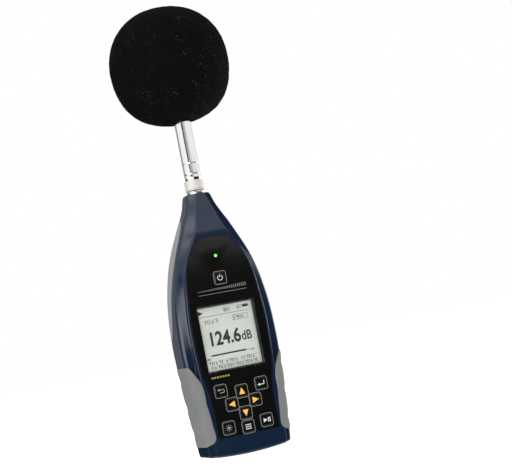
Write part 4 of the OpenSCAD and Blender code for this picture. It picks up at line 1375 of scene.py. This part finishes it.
def sector(r0, r1, a0, a1, z):
    """Flat panels lying in a ring sector round the meter."""
    turns = [radians(a) for a in span(a0, a1, 12)]
    return [(r * sin(a), -r * cos(a), z) for b, c in zip(turns, turns[1:])
            for r, a in ((r0, b), (r1, b), (r1, c), (r0, c))]


def build_studio():
    """A pale floor, and cards that only show in the glossy surfaces."""
    half = 12.0
    floor_z = cad_low.z - 0.06
    screen("floor", stage_material("floor_white", "fbfbfa", 0.3),
           [(-half, -half, floor_z), (half, -half, floor_z), (half, half, floor_z), (-half, half, floor_z)])
    low = floor_z + 0.002
    black, grey, pale = (stage_material("card_" + tone, colour)
                         for tone, colour in (("black", "0a0a0a"), ("grey", "8c8c8c"), ("pale", "c0c0c0")))
    for name, material, corners in (
            ("front_card", black, curved(1.0, -14, 78, low, 0.21)),
            ("rear_left_card", black, curved(1.0, -150, -102, low, 0.18)),
            ("floor_card", black, sector(0.2, 1.5, -205, 78, low)),
            ("stem_core_card", black, curved(1.1, -44, -25, 0.2, 0.75)),
            ("stem_soft_card", grey, curved(1.1, -25, -6, 0.2, 0.75)),
            ("stem_pale_card", pale, curved(1.1, -6, 12, 0.2, 0.75)),
            ("neck_card", black, curved(1.3, 62, 135, 0.4, 1.1)),
            ("rear_card", grey, curved(1.6, 165, 235, low, 1.2)),
            ("rear_right_card", pale, curved(1.6, 112, 165, 0.2, 1.2))):
        card = screen(name, material, corners)
        card.visible_camera = card.visible_diffuse = card.visible_shadow = False


def build_light(name, place_at, size, power):
    lamp = bpy.data.lights.new(name, "AREA")
    lamp.shape = "RECTANGLE"
    lamp.size, lamp.size_y = size
    lamp.energy = power
    holder = into_scene(bpy.data.objects.new(name, lamp))
    holder.location = place_at
    holder.rotation_euler = (Vector((0, 0, 0.05)) - Vector(place_at)).to_track_quat("-Z", "Y").to_euler()


def build_world():
    world = bpy.data.worlds.new("studio")
    bpy.context.scene.world = world
    world.use_nodes = True
    back = world.node_tree.nodes["Background"]
    back.inputs["Color"].default_value = (1, 1, 1, 1)
    back.inputs["Strength"].default_value = 1.0
    bpy.context.scene.view_settings.view_transform = "Standard"


def build_camera():
    """Camera low and to the left of the meter, looking slightly up, rolled so that the meter leans left."""
    yaw, pitch, roll = (radians(a) for a in (20.861, 4.141, 11.015))
    distance = 0.976471
    aim = Vector((41.263, -HALF_DEPTH, 158.015 + BOTTOM)) * MM
    forward = Vector((sin(yaw) * cos(pitch), cos(yaw) * cos(pitch), sin(pitch)))
    level_right = Vector((cos(yaw), -sin(yaw), 0))
    level_up = level_right.cross(forward)
    right = level_right * cos(roll) - level_up * sin(roll)
    up = level_right * sin(roll) + level_up * cos(roll)
    data = bpy.data.cameras.new("camera")
    data.sensor_width = 36
    data.lens = 89.335
    data.clip_start, data.clip_end = 0.05, 50
    camera = into_scene(bpy.data.objects.new("camera", data))
    camera.matrix_world = Matrix((right, up, -forward)).transposed().to_4x4()
    camera.location = aim - forward * distance
    bpy.context.scene.camera = camera


build_studio()
build_world()
for light in (("left_light", (-0.84, -0.84, 0.04), (1.3, 0.28), 4.2),
              ("right_light", (1.06, 0.28, 0.04), (0.9, 0.28), 3.4),
              ("upper_left_light", (-0.6, -0.5, 0.95), (0.6, 0.5), 2.0),
              ("top_light", (-0.2, -0.7, 1.3), (0.7, 0.7), 3.0)):
    build_light(*light)
build_camera()
